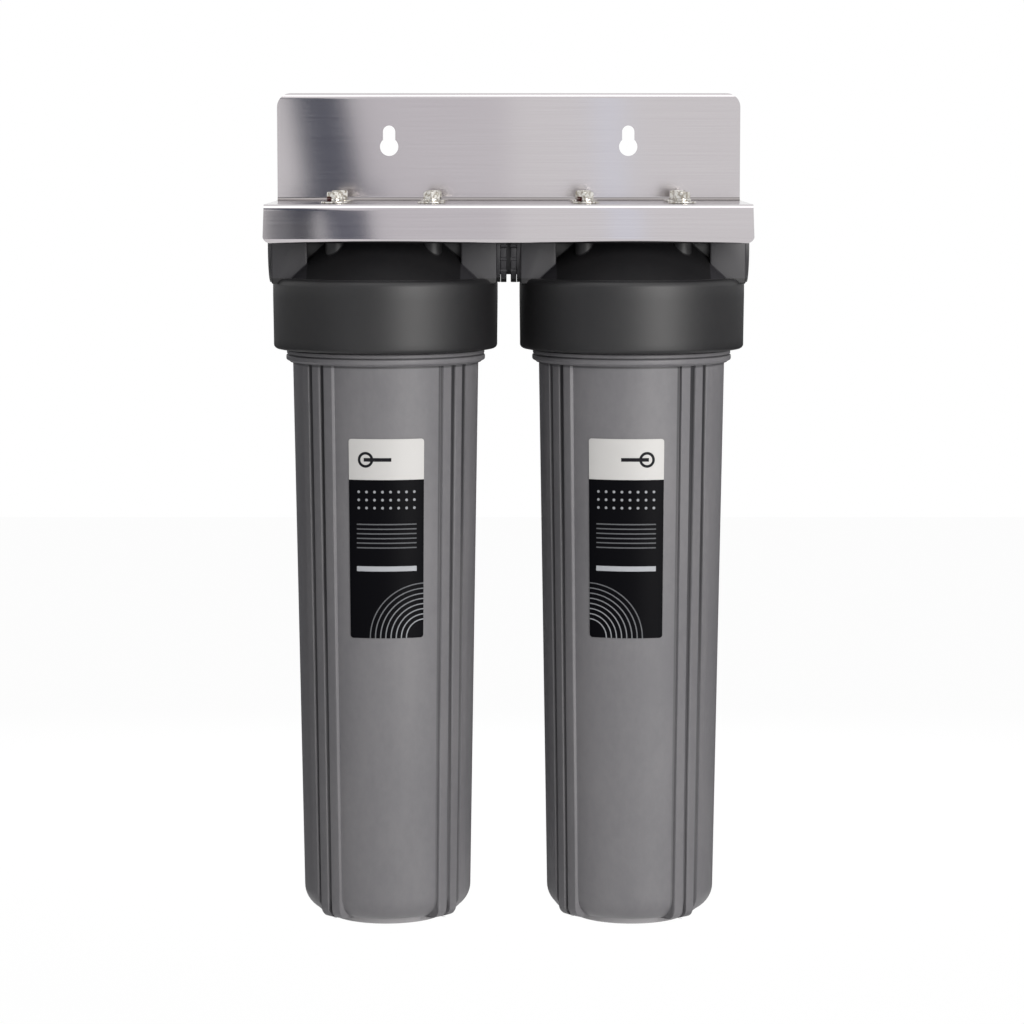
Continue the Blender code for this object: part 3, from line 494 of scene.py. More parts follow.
# an outline whose corners are rounded: points are (across, height, rounding)
def roundedLine(points, steps=4, closed=False):
    line = []
    count = len(points)
    for index, (x, y, rounding) in enumerate(points):
        here = Vector((x, y))
        if rounding <= 0 or (not closed and index in (0, count - 1)):
            line.append(here)
            continue
        before = Vector(points[index - 1][:2]) - here
        after = Vector(points[(index + 1) % count][:2]) - here
        half = before.angle(after) / 2
        reach = min(rounding / math.tan(half), before.length * 0.49, after.length * 0.49)
        radius = reach * math.tan(half)
        middle = (before.normalized() + after.normalized()).normalized()
        centre = here + middle * (radius / math.sin(half))
        first = here + before.normalized() * reach - centre
        last = here + after.normalized() * reach - centre
        swing = first.angle(last)
        for k in range(steps + 1):
            share = k / steps
            line.append(centre + (first * math.sin((1 - share) * swing) + last * math.sin(share * swing))
                        / math.sin(swing))
    return line


# a (radius, height) line carried round Z: one sector is spun, then doubled up to the full turn
def spun(line, sides, closed=False):
    shape = bmesh.new()
    marks = shape.verts.layers.int.new("line")
    chain = [shape.verts.new((point[0], 0, point[1])) for point in line]
    for index, vertex in enumerate(chain):
        vertex[marks] = index
    edges = [shape.edges.new(pair) for pair in zip(chain, chain[1:])]
    if closed:
        edges.append(shape.edges.new((chain[-1], chain[0])))
    sectors = 1
    while sides % (sectors * 2) == 0 and sides / sectors > 24:
        sectors *= 2
    sweep = math.tau / sectors
    bmesh.ops.spin(shape, geom=chain + edges, cent=(0, 0, 0), axis=(0, 0, 1), angle=sweep,
                   steps=sides // sectors, use_merge=sectors == 1)
    while sectors > 1:
        copied = bmesh.ops.duplicate(shape, geom=allOf(shape))["geom"]
        bmesh.ops.rotate(shape, verts=vertsOf(copied), cent=(0, 0, 0), matrix=Matrix.Rotation(sweep, 3, "Z"))
        sweep *= 2
        sectors //= 2
    return weld(shape)


# a flat section, filled, carried along a helix
def helix(section, start, turns, pitch, sides):
    shape = bmesh.new()
    face = shape.faces.new([shape.verts.new((r, 0, z)) for r, z in section])
    turned(shape, start, "Z")
    steps = round(sides * turns)
    bmesh.ops.spin(shape, geom=[face], cent=(0, 0, 0), axis=(0, 0, 1), angle=math.tau * turns, steps=steps,
                   dvec=(0, 0, pitch * turns / steps))
    return weld(shape)


# a ring's closed section: its roundings go from the upper inner corner round the outside
def ringLine(bore, outer, low, high, roundings, steps=3):
    corners = ((bore, high), (outer, high), (outer, low), (bore, low))
    return roundedLine([(*corner, rounding) for corner, rounding in zip(corners, roundings)], steps, True)


def vertsOf(geometry):
    return [part for part in geometry if isinstance(part, bmesh.types.BMVert)]


def allOf(shape):
    return shape.verts[:] + shape.edges[:] + shape.faces[:]


def weld(shape):
    bmesh.ops.remove_doubles(shape, verts=shape.verts[:], dist=1e-6)
    return shape


def move(shape, offset):
    bmesh.ops.translate(shape, verts=shape.verts[:], vec=offset)
    return shape


def turned(shape, angle, axis):
    bmesh.ops.rotate(shape, verts=shape.verts[:], cent=(0, 0, 0), matrix=Matrix.Rotation(angle, 3, axis))
    return shape


def rod(radius, low, high, sides, bevel=0.0):
    corners = [(0, low, 0), (radius, low, bevel), (radius, high, bevel), (0, high, 0)]
    return spun(roundedLine(corners, 3), sides)


def block(size, centre, bevel):
    shape = bmesh.new()
    bmesh.ops.create_cube(shape, size=1)
    bmesh.ops.scale(shape, verts=shape.verts[:], vec=size)
    bmesh.ops.bevel(shape, geom=shape.edges[:], offset=bevel, segments=3, profile=0.5, affect="EDGES",
                    material=-1)
    return move(shape, centre)


def flatSheet(width, height):
    shape = bmesh.new()
    bmesh.ops.create_grid(shape, x_segments=1, y_segments=1, size=0.5)
    bmesh.ops.scale(shape, verts=shape.verts[:], vec=(width, height, 1))
    return shape


def toMesh(name, shape):
    bmesh.ops.recalc_face_normals(shape, faces=shape.faces[:])
    mesh = bpy.data.meshes.new(name)
    shape.to_mesh(mesh)
    shape.free()
    return mesh


def newObject(name, data):
    made = bpy.data.objects.new(name, data)
    bpy.context.scene.collection.objects.link(made)
    return made


def modify(thing, name, kind, **settings):
    modifier = thing.modifiers.new(name, kind)
    for setting, value in settings.items():
        setattr(modifier, setting, value)


# the mesh that an object shows once its modifiers have run
def evaluated(thing):
    bpy.context.view_layer.update()
    return bpy.data.meshes.new_from_object(thing.evaluated_get(bpy.context.evaluated_depsgraph_get()))


def addPiece(name, shape, finish, stands=(), body="root", sharp=sharpAngle):
    material, slot = finish
    mesh = toMesh(name, shape) if isinstance(shape, bmesh.types.BMesh) else shape
    mesh.shade_smooth()
    mesh.set_sharp_from_angle(angle=math.radians(sharp))
    mesh.materials.clear()
    mesh.materials.append(material)
    piece = newObject(name, mesh)
    if stands:
        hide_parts(*stands)
    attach(piece, body)
    return piece


# joins and cuts shapes with the exact solver, and hands back one mesh
def sculpt(name, shape, steps):
    base = newObject(name, toMesh(name, shape))
    tools = []
    for operation, tool in steps:
        cutter = newObject(f"{name}Tool", toMesh(f"{name}Tool", tool))
        modify(base, "shape", "BOOLEAN", operation=operation, solver="EXACT", object=cutter)
        tools.append(cutter)
    result = evaluated(base)
    for thing in [base] + tools:
        bpy.data.meshes.remove(thing.data)
    return result


# heads
head = {
    "crownDrop": 0.030,
    "shoulderRadius": 0.0817,
    "bandTopDrop": 0.061,
    "bandRadius": 0.0921,
    "bandFootRadius": 0.0917,
    "bandFootDrop": 0.1187,
    "bandStraight": (0.015, 0.008),
    "skirtRadius": 0.0826,
    "skirtLeadIn": 0.0022,
    "sealDrop": 0.067,
    "chamberRadius": 0.066,
    "chamberTop": 0.060,
    "postRadius": 0.031,
    "postTaper": 0.003,
    "spigotEnd": 0.0782,
    "blockSize": (0.0292, 0.063, 0.061),
    "blockMiddle": 0.0769,
    "blockBevel": 0.0014,
    "tunnelRadius": 0.0245,
    "collarRadius": 0.0302,
    "collarEnd": 0.0943,
    "collarDepth": 0.004,
    "collarRound": 0.0002,
    "socketRadius": 0.0242,
    "socketDepth": 0.024,
    "socketSides": 96,
    "waterwayRadius": 0.018,
    "outletStart": -0.011,
    "bossRadius": 0.0080,
    "bossTop": 0.0023,
    "bossFoot": 0.047,
    "bossRound": 0.0008,
    "bossSides": 40,
    "bossHole": 0.0043,
    "bossHoleFoot": 0.029,
    "bossHoleSides": 24,
    "downHole": (0.047, 0.012),
    "downHoleFoot": 0.062,
    "sides": 144,
    "threadPitch": 0.00635,
    "threadTurns": 2.5,
    "threadDepth": 0.0026,
    "threadRoot": 0.001,
    "threadHalves": (0.0019, 0.0006),
    "threadStart": 4,
    "threadDrop": 0.0877,
    "pipePitch": 0.00231,
    "pipeDepth": 0.0010,
    "pipeRoot": 0.0005,
    "pipeHalves": (0.0009, 0.0002),
    "pipeRunOut": 0.006,
    "pipeLead": 0.002,
}


# from the crown over the band and up inside to the spigot and its bore
def headProfile():
    h = head
    crown = h["shoulderRadius"] - (h["bandTopDrop"] - h["crownDrop"])
    upperEnd, lowerEnd = h["bandStraight"]
    seatDrop = h["sealDrop"] - fit
    return roundedLine([
        (0, -h["crownDrop"], 0),
        (crown, -h["crownDrop"], 0.004),
        (h["shoulderRadius"], -h["bandTopDrop"], 0.0012),
        (h["bandRadius"], -h["bandTopDrop"], 0.0070),
        (h["bandRadius"], -h["bandTopDrop"] - upperEnd, 0),
        (h["bandFootRadius"], -h["bandFootDrop"] + lowerEnd, 0),
        (h["bandFootRadius"], -h["bandFootDrop"], 0.0052),
        (h["skirtRadius"] + h["skirtLeadIn"], -h["bandFootDrop"], 0.0004),
        (h["skirtRadius"], -h["bandFootDrop"] + h["skirtLeadIn"], 0.0006),
        (h["skirtRadius"], -h["sealDrop"], 0.0008),
        (h["chamberRadius"], -h["sealDrop"], 0.0008),
        (h["chamberRadius"], -h["chamberTop"], 0.0015),
        (h["postRadius"], -h["chamberTop"], 0.002),
        (h["postRadius"], -h["chamberTop"] - h["postTaper"], 0.001),
        (spigot["seat"], -seatDrop, 0.0005),
        (spigot["radius"], -seatDrop, 0.0003),
        (spigot["radius"], -h["spigotEnd"] + spigot["chamfer"], 0.0006),
        (spigot["radius"] - spigot["chamfer"], -h["spigotEnd"], 0.0005),
        (spigot["bore"], -h["spigotEnd"], 0.0004),
        (spigot["bore"], -portDrop, 0),
        (0, -portDrop, 0),
    ], 4)


# a round bar along X at the height of the ports, between two places in either order
def lyingRod(radius, first, last, sides=64, bevel=0.0):
    bar = rod(radius, min(first, last), max(first, last), sides, bevel)
    return move(turned(bar, math.pi / 2, "Y"), (0, 0, -portDrop))


# where a housing's axis meets the shelf
def housingPlace(side):
    return Vector((sideSign[side] * axisX, axisY, shelfTop))


def atHousing(shape, side):
    return move(shape, housingPlace(side))


# the four bolts of one housing, from its axis, left to right within each row
def boltPlaces():
    spreadX, spreadY = boltSpread
    return [Vector((dx * spreadX, dy * spreadY, 0)) for dy in (-1, 1) for dx in (-1, 1)]


def makeHead(side):
    h = head
    end = h["collarEnd"]
    hole, holeRadius = h["downHole"]
    steps = [("UNION", lyingRod(h["tunnelRadius"], -h["blockMiddle"], h["blockMiddle"]))]
    for place in boltPlaces():
        boss = rod(h["bossRadius"], -h["bossFoot"], -h["bossTop"], h["bossSides"], h["bossRound"])
        steps.append(("UNION", move(boss, place)))
    for way in (-1, 1):
        middle = (way * h["blockMiddle"], 0, -portDrop)
        collarFoot = way * (end - h["collarDepth"])
        socketEnd = way * (end - h["socketDepth"])
        steps += [
            ("UNION", block(h["blockSize"], middle, h["blockBevel"])),
            ("UNION", lyingRod(h["collarRadius"], way * end, collarFoot, h["socketSides"], h["collarRound"])),
            ("DIFFERENCE", lyingRod(h["socketRadius"], way * (end + overrun), socketEnd, h["socketSides"]))]
    downHole = rod(holeRadius, -h["downHoleFoot"], -portDrop, h["bossSides"])
    steps += [
        ("DIFFERENCE", lyingRod(h["waterwayRadius"], -end - overrun, holeRadius + overrun - hole)),
        ("DIFFERENCE", lyingRod(h["waterwayRadius"], h["outletStart"], end + overrun)),
        ("DIFFERENCE", move(downHole, (-hole, 0, 0)))]
    for place in boltPlaces():
        bossHole = rod(h["bossHole"], -h["bossHoleFoot"], overrun, h["bossHoleSides"])
        steps.append(("DIFFERENCE", move(bossHole, place)))
    mesh = sculpt(f"{side}Head", spun(headProfile(), h["sides"]), steps)
    mesh.transform(Matrix.Translation(housingPlace(side)))
    addPiece(f"{side}HeadShell", mesh, black, [f"{side}_head"], sharp=32)


# a thread's ridge, wide at its root and narrow at its crest
def ridgeLine(root, crest, height, halves):
    wide, narrow = halves
    return [(root, height + wide), (crest, height + narrow), (crest, height - narrow), (root, height - wide)]


# the thread between head and sump: on the skirt it points inwards, on the neck outwards
def housingThread(radius, inwards, drop):
    h = head
    way = -1 if inwards else 1
    low = -drop - h["threadPitch"] * h["threadTurns"]
    ridge = ridgeLine(radius - way * h["threadRoot"], radius + way * h["threadDepth"], low, h["threadHalves"])
    return helix(ridge, math.radians(h["threadStart"]), h["threadTurns"], h["threadPitch"], 96)


def makeSkirtThread(side):
    thread = housingThread(head["skirtRadius"], True, head["threadDrop"] + head["threadPitch"] / 2)
    addPiece(f"{side}SkirtThread", atHousing(thread, side), black)


# pipe thread in the outer socket only, as the nipple fills the inner one
def makePortThread(side, name):
    h = head
    pitch = h["pipePitch"]
    turns = (h["socketDepth"] - h["pipeRunOut"]) / pitch
    root, crest = h["socketRadius"] + h["pipeRoot"], h["socketRadius"] - h["pipeDepth"]
    ridge = ridgeLine(root, crest, 0, h["pipeHalves"])
    thread = turned(helix(ridge, 0, turns, pitch, 64), math.pi / 2, "Y")
    start = h["collarEnd"] - h["socketDepth"] + h["pipeLead"]
    shift = start if sideSign[side] > 0 else -start - turns * pitch
    addPiece(f"{side}{name}Thread", atHousing(move(thread, (shift, 0, -portDrop)), side), black)


for side, port in (("left", "Inlet"), ("right", "Outlet")):
    makeHead(side)
    makeSkirtThread(side)
    makePortThread(side, port)
print("heads made")


def panelRadius(drop):
    top, topDrop = sump["panelTop"]
    share = (drop - topDrop) / (sump["baseDrop"] - sump["corner"] - topDrop)
    return top + (sump["panelFoot"] - top) * share


# the outer wall from the top of a panel down round the corner to the base
def wallLine(stand, corner, lift):
    base = sump["baseDrop"] - lift
    foot = base - corner
    line = []
    for k in range(sump["straightSteps"] + 1):
        drop = sump["panelTop"][1] + (foot - sump["panelTop"][1]) * k / sump["straightSteps"]
        line.append((panelRadius(drop) + stand, -drop))
    centre = panelRadius(foot) + stand - corner
    for k in range(1, sump["cornerSteps"] + 1):
        angle = math.pi / 2 * k / sump["cornerSteps"]
        line.append((centre + corner * math.cos(angle), -foot - corner * math.sin(angle)))
    return line


# how far each of a corner's three ribs stands out at this angle, front and back alike
def ribShare(angle, radius):
    width, edge = sump["ribWidth"], sump["ribEdge"]
    folded = abs((math.degrees(angle) + 90) % 180 - 90)
    shares = []
    for rib in sump["ribAngles"]:
        away = math.radians(abs(folded - rib)) * radius
        share = min(1, max(0, (width / 2 + edge / 2 - away) / edge))
        shares.append(share * share * (3 - 2 * share))
    return shares


# from the spigot on the floor up the bore, over the rim and its seal groove, and down to the panels
def neckLine():
    s = sump
    floorRadius, floorDrop = s["floor"]
    grooveIn, grooveOut, grooveFoot = s["sealGroove"]
    flange, flangeTop, flangeFoot = s["flange"]
    flangeGroove, flangeGrooveDrop = s["flangeGroove"]
    bead, beadTop, beadFoot = s["bead"]
    neckFoot, neckFootDrop = s["beadFoot"]
    panelDrop = s["panelTop"][1]
    rim = s["rimDrop"]
    return roundedLine([
        (0, -s["spigotTop"], 0),
        (spigot["radius"] - spigot["chamfer"], -s["spigotTop"], 0.0006),
        (spigot["radius"], -s["spigotTop"] - spigot["chamfer"], 0.0004),
        (spigot["radius"], -s["seatDrop"], 0.0004),
        (spigot["seat"], -s["seatDrop"], 0.0006),
        (s["seatFoot"], -floorDrop, 0.002),
        (floorRadius, -floorDrop, s["floorRound"]),
        (s["neckBore"], -panelDrop, 0.004),
        (s["neckBore"], -rim, 0.0010),
        (grooveIn, -rim, 0.0004),
        (grooveIn, -grooveFoot, 0.0004),
        (grooveOut, -grooveFoot, 0.0004),
        (grooveOut, -rim, 0.0004),
        (s["neckRadius"], -rim, 0.0008),
        (s["neckRadius"], -flangeTop, 0.0006),
        (flange, -flangeTop, 0.0009),
        (flange, -flangeFoot, 0.0008),
        (flangeGroove, -flangeGrooveDrop, 0.0004),
        (bead, -beadTop, 0.0012),
        (bead, -beadFoot, 0.0016),
        (neckFoot, -neckFootDrop, 0.0004),
        (neckFoot, -panelDrop, 0),
    ], 3)


# the base ring that a sump stands on, in to the axis
def footLine():
    base, low = sump["baseDrop"], sump["footRingDrop"]
    innerTop, outerTop = sump["footRingTop"]
    innerLow, outerLow = sump["footRingLow"]
    return roundedLine([(outerTop, -base, 0), (outerLow, -low, 0.0010), (innerLow, -low, 0.0010),
                        (innerTop, -base, 0.0004), (0, -base, 0)], 3)


def makeSump(side):
    s = sump
    upper = neckLine()
    panel = wallLine(0, s["corner"], 0)
    ribs = [wallLine(s["ribHeight"], corner, s["ribLift"]) for corner in s["ribCorners"]]
    shape = spun(upper + panel + footLine(), s["steps"])
    marks = shape.verts.layers.int["line"]
    first = len(upper)
    turn = math.radians(s["turn"][side])
    for vertex in shape.verts:
        index = vertex[marks] - first
        if not 0 <= index < len(panel):
            continue
        radius, height = panel[index]
        angle = math.atan2(vertex.co.x, -vertex.co.y) - turn
        plain = Vector((radius, height))
        mixed = plain
        for rib, share in zip(ribs, ribShare(angle, radius)):
            mixed = mixed + share * (Vector(rib[index]) - plain)
        flat = Vector((vertex.co.x, vertex.co.y)).normalized() * mixed[0]
        vertex.co = (flat[0], flat[1], mixed[1])
    addPiece(f"{side}SumpShell", atHousing(shape, side), greys[side], [f"{side}_sump"], f"{side}_sump", 48)


def makeNeckThread(side):
    thread = housingThread(sump["neckRadius"], False, head["threadDrop"])
    addPiece(f"{side}NeckThread", atHousing(thread, side), greys[side], body=f"{side}_sump")


for side in sideSign:
    makeSump(side)
    makeNeckThread(side)
print("sumps made")


# bracket: a strip carried round its bends, then given its thickness
bracket = {
    "width": 0.391,
    "sheet": 0.002,
    "backHeight": 0.090,
    "shelfDepth": 0.173,
    "lipHeight": 0.031,
    "lipFlare": 0.001,
    "topReturn": 0.012,
    "lipReturn": 0.009,
    "bend": 0.005,
    "lipBend": 0.004,
    "backCorner": 0.012,
    "lipCorner": 0.0064,
    "keyhole": (0.00775, 0.0052, 0.0126),
    "keyholeHeight": 0.045,
    "boltHole": (0.0048, 32),
    "edgeBevel": 0.00035,
    "bendSteps": 8,
}


def foldedStrip():
    b = bracket
    bend, lipBend = b["bend"] - b["sheet"] / 2, b["lipBend"] - b["sheet"] / 2
    shape = bmesh.new()
    edge = shape.edges.new([shape.verts.new((x * b["width"] / 2, 0, 0)) for x in (-1, 1)])
    heading = math.pi
    moves = [(b["topReturn"] - b["bend"], 0), (bend, 1), (b["backHeight"] - 2 * bend, 0), (bend, -1),
             (b["shelfDepth"] - 2 * bend, 0), (bend, 1), (b["lipHeight"] - b["sheet"] - bend - lipBend, 0),
             (lipBend, 1), (b["lipReturn"] - b["lipBend"], 0)]
    for amount, way in moves:
        ahead = Vector((0, math.cos(heading), math.sin(heading)))
        if not way:
            grown = bmesh.ops.extrude_edge_only(shape, edges=[edge])["geom"]
            bmesh.ops.translate(shape, verts=vertsOf(grown), vec=ahead * amount)
            edge = [g for g in grown if isinstance(g, bmesh.types.BMEdge)
                    and abs(g.verts[0].co.x - g.verts[1].co.x) > b["width"] / 2][0]
            continue
        centre = edge.verts[0].co + Vector((0, -ahead.z, ahead.y)) * amount * way
        last = bmesh.ops.spin(shape, geom=[*edge.verts, edge], cent=centre, axis=(1, 0, 0),
                              angle=way * math.pi / 2, steps=b["bendSteps"])["geom_last"]
        edge = [g for g in last if isinstance(g, bmesh.types.BMEdge)][0]
        heading += way * math.pi / 2
    weld(shape)
    lipTop = shelfTop - b["bend"]
    lipFoot = shelfTop - b["lipHeight"]
    for vertex in shape.verts:
        if vertex.co.z < lipTop:
            share = (lipTop - vertex.co.z) / (lipTop - lipFoot)
            vertex.co.x += math.copysign(b["lipFlare"] * share, vertex.co.x)
    return shape


# the folded strip given its thickness, half on each side of its middle
def thickened(strip, thickness):
    base = newObject("strip", toMesh("strip", strip))
    modify(base, "sheet", "SOLIDIFY", thickness=thickness, offset=0, use_even_offset=True)
    mesh = evaluated(base)
    bpy.data.meshes.remove(base.data)
    shape = bmesh.new()
    shape.from_mesh(mesh)
    bpy.data.meshes.remove(mesh)
    return shape


# an outline of (x, z) pushed through the sheet along Y
def pushed(outline, fromY, toY):
    shape = bmesh.new()
    face = shape.faces.new([shape.verts.new((x, fromY, z)) for x, z in outline])
    grown = bmesh.ops.extrude_face_region(shape, geom=[face])["geom"]
    bmesh.ops.translate(shape, verts=vertsOf(grown), vec=(0, toY - fromY, 0))
    return shape


# the waste outside one rounded corner of a plate
def cornerWaste(x, z, radius, way, up, fromY, toY):
    line = roundedLine([(x, z - up * 2 * radius, 0), (x, z, radius), (x - way * 2 * radius, z, 0)], 12)
    beyond = [(x - way * radius, z + up * overrun), (x + way * overrun, z + up * overrun),
              (x + way * overrun, z - up * radius)]
    return pushed(line[1:-1] + beyond, fromY, toY)


def arc(x, z, radius, first, sweep, steps):
    angles = [first + sweep * k / steps for k in range(steps + 1)]
    return [(x + radius * math.cos(angle), z + radius * math.sin(angle)) for angle in angles]


def keyholeWaste(x, fromY, toY):
    entry, slot, rise = bracket["keyhole"]
    low = shelfTop + bracket["keyholeHeight"]
    spread = math.asin(slot / entry)
    outline = arc(x, low, entry, math.pi / 2 + spread, math.tau - 2 * spread, 40)
    return pushed(outline + arc(x, low + rise, slot, 0, math.pi, 20), fromY, toY)


def makeBracket():
    b = bracket
    top = b["sheet"] / 2
    lipFront = -b["topReturn"] - b["shelfDepth"]
    foot = shelfTop - b["lipHeight"]
    holeRadius, holeSides = b["boltHole"]
    waste = []
    for way in (-1, 1):
        waste.append(cornerWaste(way * b["width"] / 2, top, b["backCorner"], way, 1,
                                 -b["topReturn"] - overrun, overrun))
        waste.append(cornerWaste(way * (b["width"] / 2 + b["lipFlare"]), foot, b["lipCorner"], way, -1,
                                 lipFront - overrun, lipFront + b["lipReturn"] + overrun))
        waste.append(keyholeWaste(way * axisX, -b["topReturn"] - overrun,
                                  -b["topReturn"] + b["sheet"] + overrun))
    for side in sideSign:
        for place in boltPlaces():
            hole = rod(holeRadius, -b["sheet"] - overrun, overrun, holeSides)
            waste.append(move(hole, housingPlace(side) + place))
    cuts = [("DIFFERENCE", tool) for tool in waste]
    mesh = sculpt("bracket", thickened(foldedStrip(), b["sheet"]), cuts)
    piece = addPiece("foldedBracket", mesh, steel, ["wall_bracket"], sharp=30)
    modify(piece, "edges", "BEVEL", width=b["edgeBevel"], segments=2, limit_method="ANGLE",
           angle_limit=math.radians(50))
    modify(piece, "flatFaces", "WEIGHTED_NORMAL", mode="FACE_AREA", weight=80, keep_sharp=True)


makeBracket()
print("bracket made")


# bolts with split and flat washers
bolt = {
    "radius": 0.004,
    "length": 0.026,
    "acrossFlats": 0.013,
    "headHeight": 0.0053,
    "headRound": 0.0014,
    "overlap": 0.001,
    "washer": (0.0115, 0.0014),
    "washerRound": (0.0002, 0.0004, 0.0002, 0.0002),
    "washerSides": 56,
    "spring": (0.0072, 0.0018, 0.0012),
    "springRound": 0.0003,
    "springSides": 48,
    "springTurns": (45, 70),
}


# a hexagon whose upper corners are turned off by a cone, with its shank
def hexBolt(headFoot):
    b = bolt
    flat = b["acrossFlats"] / 2
    corner = flat / math.cos(math.pi / 6)
    headTop = headFoot + b["headHeight"]
    top, rim, foot = headTop + 0.00001, corner + 0.0004, headFoot - b["overlap"]
    hexagon = bmesh.new()
    bmesh.ops.create_cone(hexagon, cap_ends=True, segments=6, radius1=corner, radius2=corner,
                          depth=b["headHeight"])
    move(hexagon, (0, 0, (headFoot + headTop) / 2))
    crown = roundedLine([(0, top, 0), (flat - 0.0003, top, 0), (rim, headTop - b["headRound"], 0),
                         (rim, foot, 0), (0, foot, 0)])
    shankTop, shankFoot = headFoot + b["overlap"], headFoot - b["length"]
    shank = roundedLine([(0, shankTop, 0), (b["radius"], shankTop, 0), (b["radius"], shankFoot, 0.0008),
                         (0, shankFoot, 0)])
    return sculpt("bolt", hexagon, [("INTERSECT", spun(crown, 64)), ("UNION", spun(shank, 32))])


def makeFasteners(side):
    b = bolt
    bore = b["radius"] + fit
    washerRadius, washerThick = b["washer"]
    springRadius, springThick, split = b["spring"]
    firstTurn, turnStep = b["springTurns"]
    washerTop = fit + washerThick
    springTop = washerTop + fit + springThick
    for number, fromAxis in enumerate(boltPlaces(), 1):
        place = housingPlace(side) + fromAxis
        ring = ringLine(bore, washerRadius, fit, washerTop, b["washerRound"])
        addPiece(f"{side}FlatWasher{number}", move(spun(ring, b["washerSides"], True), place), zinc,
                 [f"{side}_washer_{number}"])
        section = ringLine(bore, springRadius, washerTop + fit, springTop, [b["springRound"]] * 4, 2)
        washer = helix(section, math.radians(firstTurn + turnStep * number),
                       1 - split / springRadius / math.tau, 0.0, b["springSides"])
        addPiece(f"{side}SplitWasher{number}", move(washer, place), zinc, [f"{side}_spring_washer_{number}"])
        mesh = hexBolt(springTop + fit)
        mesh.transform(Matrix.Translation(place))
        addPiece(f"{side}HexBolt{number}", mesh, zinc, [f"{side}_bolt_{number}"], sharp=28)


for side in sideSign:
    makeFasteners(side)
print("fasteners made")


# nipple and its two rings, in the gap between the heads
coupling = {
    "reach": 0.0287,
    "radius": 0.0239,
    "bore": 0.018,
    "rounds": (0.0005, 0.0010, 0.0010, 0.0005),
    "sides": 96,
    "ringRadius": 0.0303,
    "ringFaces": (0.0017, 0.0064),
    "ringRounds": (0.0003, 0.0002, 0.0006, 0.0003),
    "gripCount": 18,
    "gripRadius": 0.0016,
    "gripSides": 16,
    "gripOut": 0.35,
}


def makeCoupling():
    c = coupling
    place = (0, axisY, shelfTop - portDrop)
    near, far = c["ringFaces"]
    gripReach = c["ringRadius"] + c["gripRadius"] * c["gripOut"]
    line = ringLine(c["bore"], c["radius"], -c["reach"], c["reach"], c["rounds"])
    tube = turned(spun(line, c["sides"], True), math.pi / 2, "Y")
    addPiece("threadedNipple", move(tube, place), black, ["coupling_nipple"])
    for side, way in sideSign.items():
        ring = ringLine(c["radius"] + fit, c["ringRadius"], near, far, c["ringRounds"])
        cuts = []
        for k in range(c["gripCount"]):
            angle = math.tau * (k + 0.5) / c["gripCount"]
            cut = rod(c["gripRadius"], near - overrun, far + overrun, c["gripSides"])
            gripPlace = (gripReach * math.cos(angle), gripReach * math.sin(angle), 0)
            cuts.append(("DIFFERENCE", move(cut, gripPlace)))
        mesh = sculpt("ring", spun(ring, c["sides"], True), cuts)
        mesh.transform(Matrix.Translation(place) @ Matrix.Rotation(way * math.pi / 2, 4, "Y"))
        addPiece(f"{side}GripRing", mesh, black, [f"{side}_lock_ring"], sharp=32)


makeCoupling()
print("coupling made")


# a label: a film with rounded corners, cut into strips and laid on the panel's taper
def makeLabel(side):
    film = label
    shape = flatSheet(film["width"], film["height"])
    bmesh.ops.bevel(shape, geom=shape.verts[:], offset=film["corner"], segments=6, profile=0.5,
                    affect="VERTICES", material=-1)
    for k in range(1, film["strips"]):
        x = film["width"] * (k / film["strips"] - 0.5)
        bmesh.ops.bisect_plane(shape, geom=allOf(shape), plane_co=(x, 0, 0), plane_no=(1, 0, 0))
    bmesh.ops.solidify(shape, geom=shape.faces[:], thickness=film["thick"])
    deepest = min(vertex.co.z for vertex in shape.verts)
    middle = film["drop"] + film["height"] / 2
    turn = math.radians(film["turn"][side])
    for vertex in shape.verts:
        drop = middle - vertex.co.y
        radius = panelRadius(drop) + fit + vertex.co.z - deepest
        angle = vertex.co.x / panelRadius(middle) + turn
        vertex.co = (radius * math.sin(angle), -radius * math.cos(angle), -drop)
    addPiece(f"{side}LabelFilm", atHousing(shape, side), labelFilms[side], [f"{side}_label"],
             f"{side}_sump", 40)


for side in sideSign:
    makeLabel(side)
print("labels made")


# inner nodes keep the shape of their solids and get their finish
carried = {
    "o_ring": "rubber", "top_gasket": "rubber", "bottom_gasket": "rubber", "top_cap": "white",
    "bottom_cap": "white", "core_tube": "white", "pleated_media": "paper", "outer_wrap": "paper",
    "carbon_block": "carbon",
}
for name, node in frame["nodes"].items():
    kind = name.split("_", 1)[1]
    if kind in carried:
        for materialSlot in node.material_slots:
            materialSlot.material = innerLooks[carried[kind]]
print("inner nodes finished")


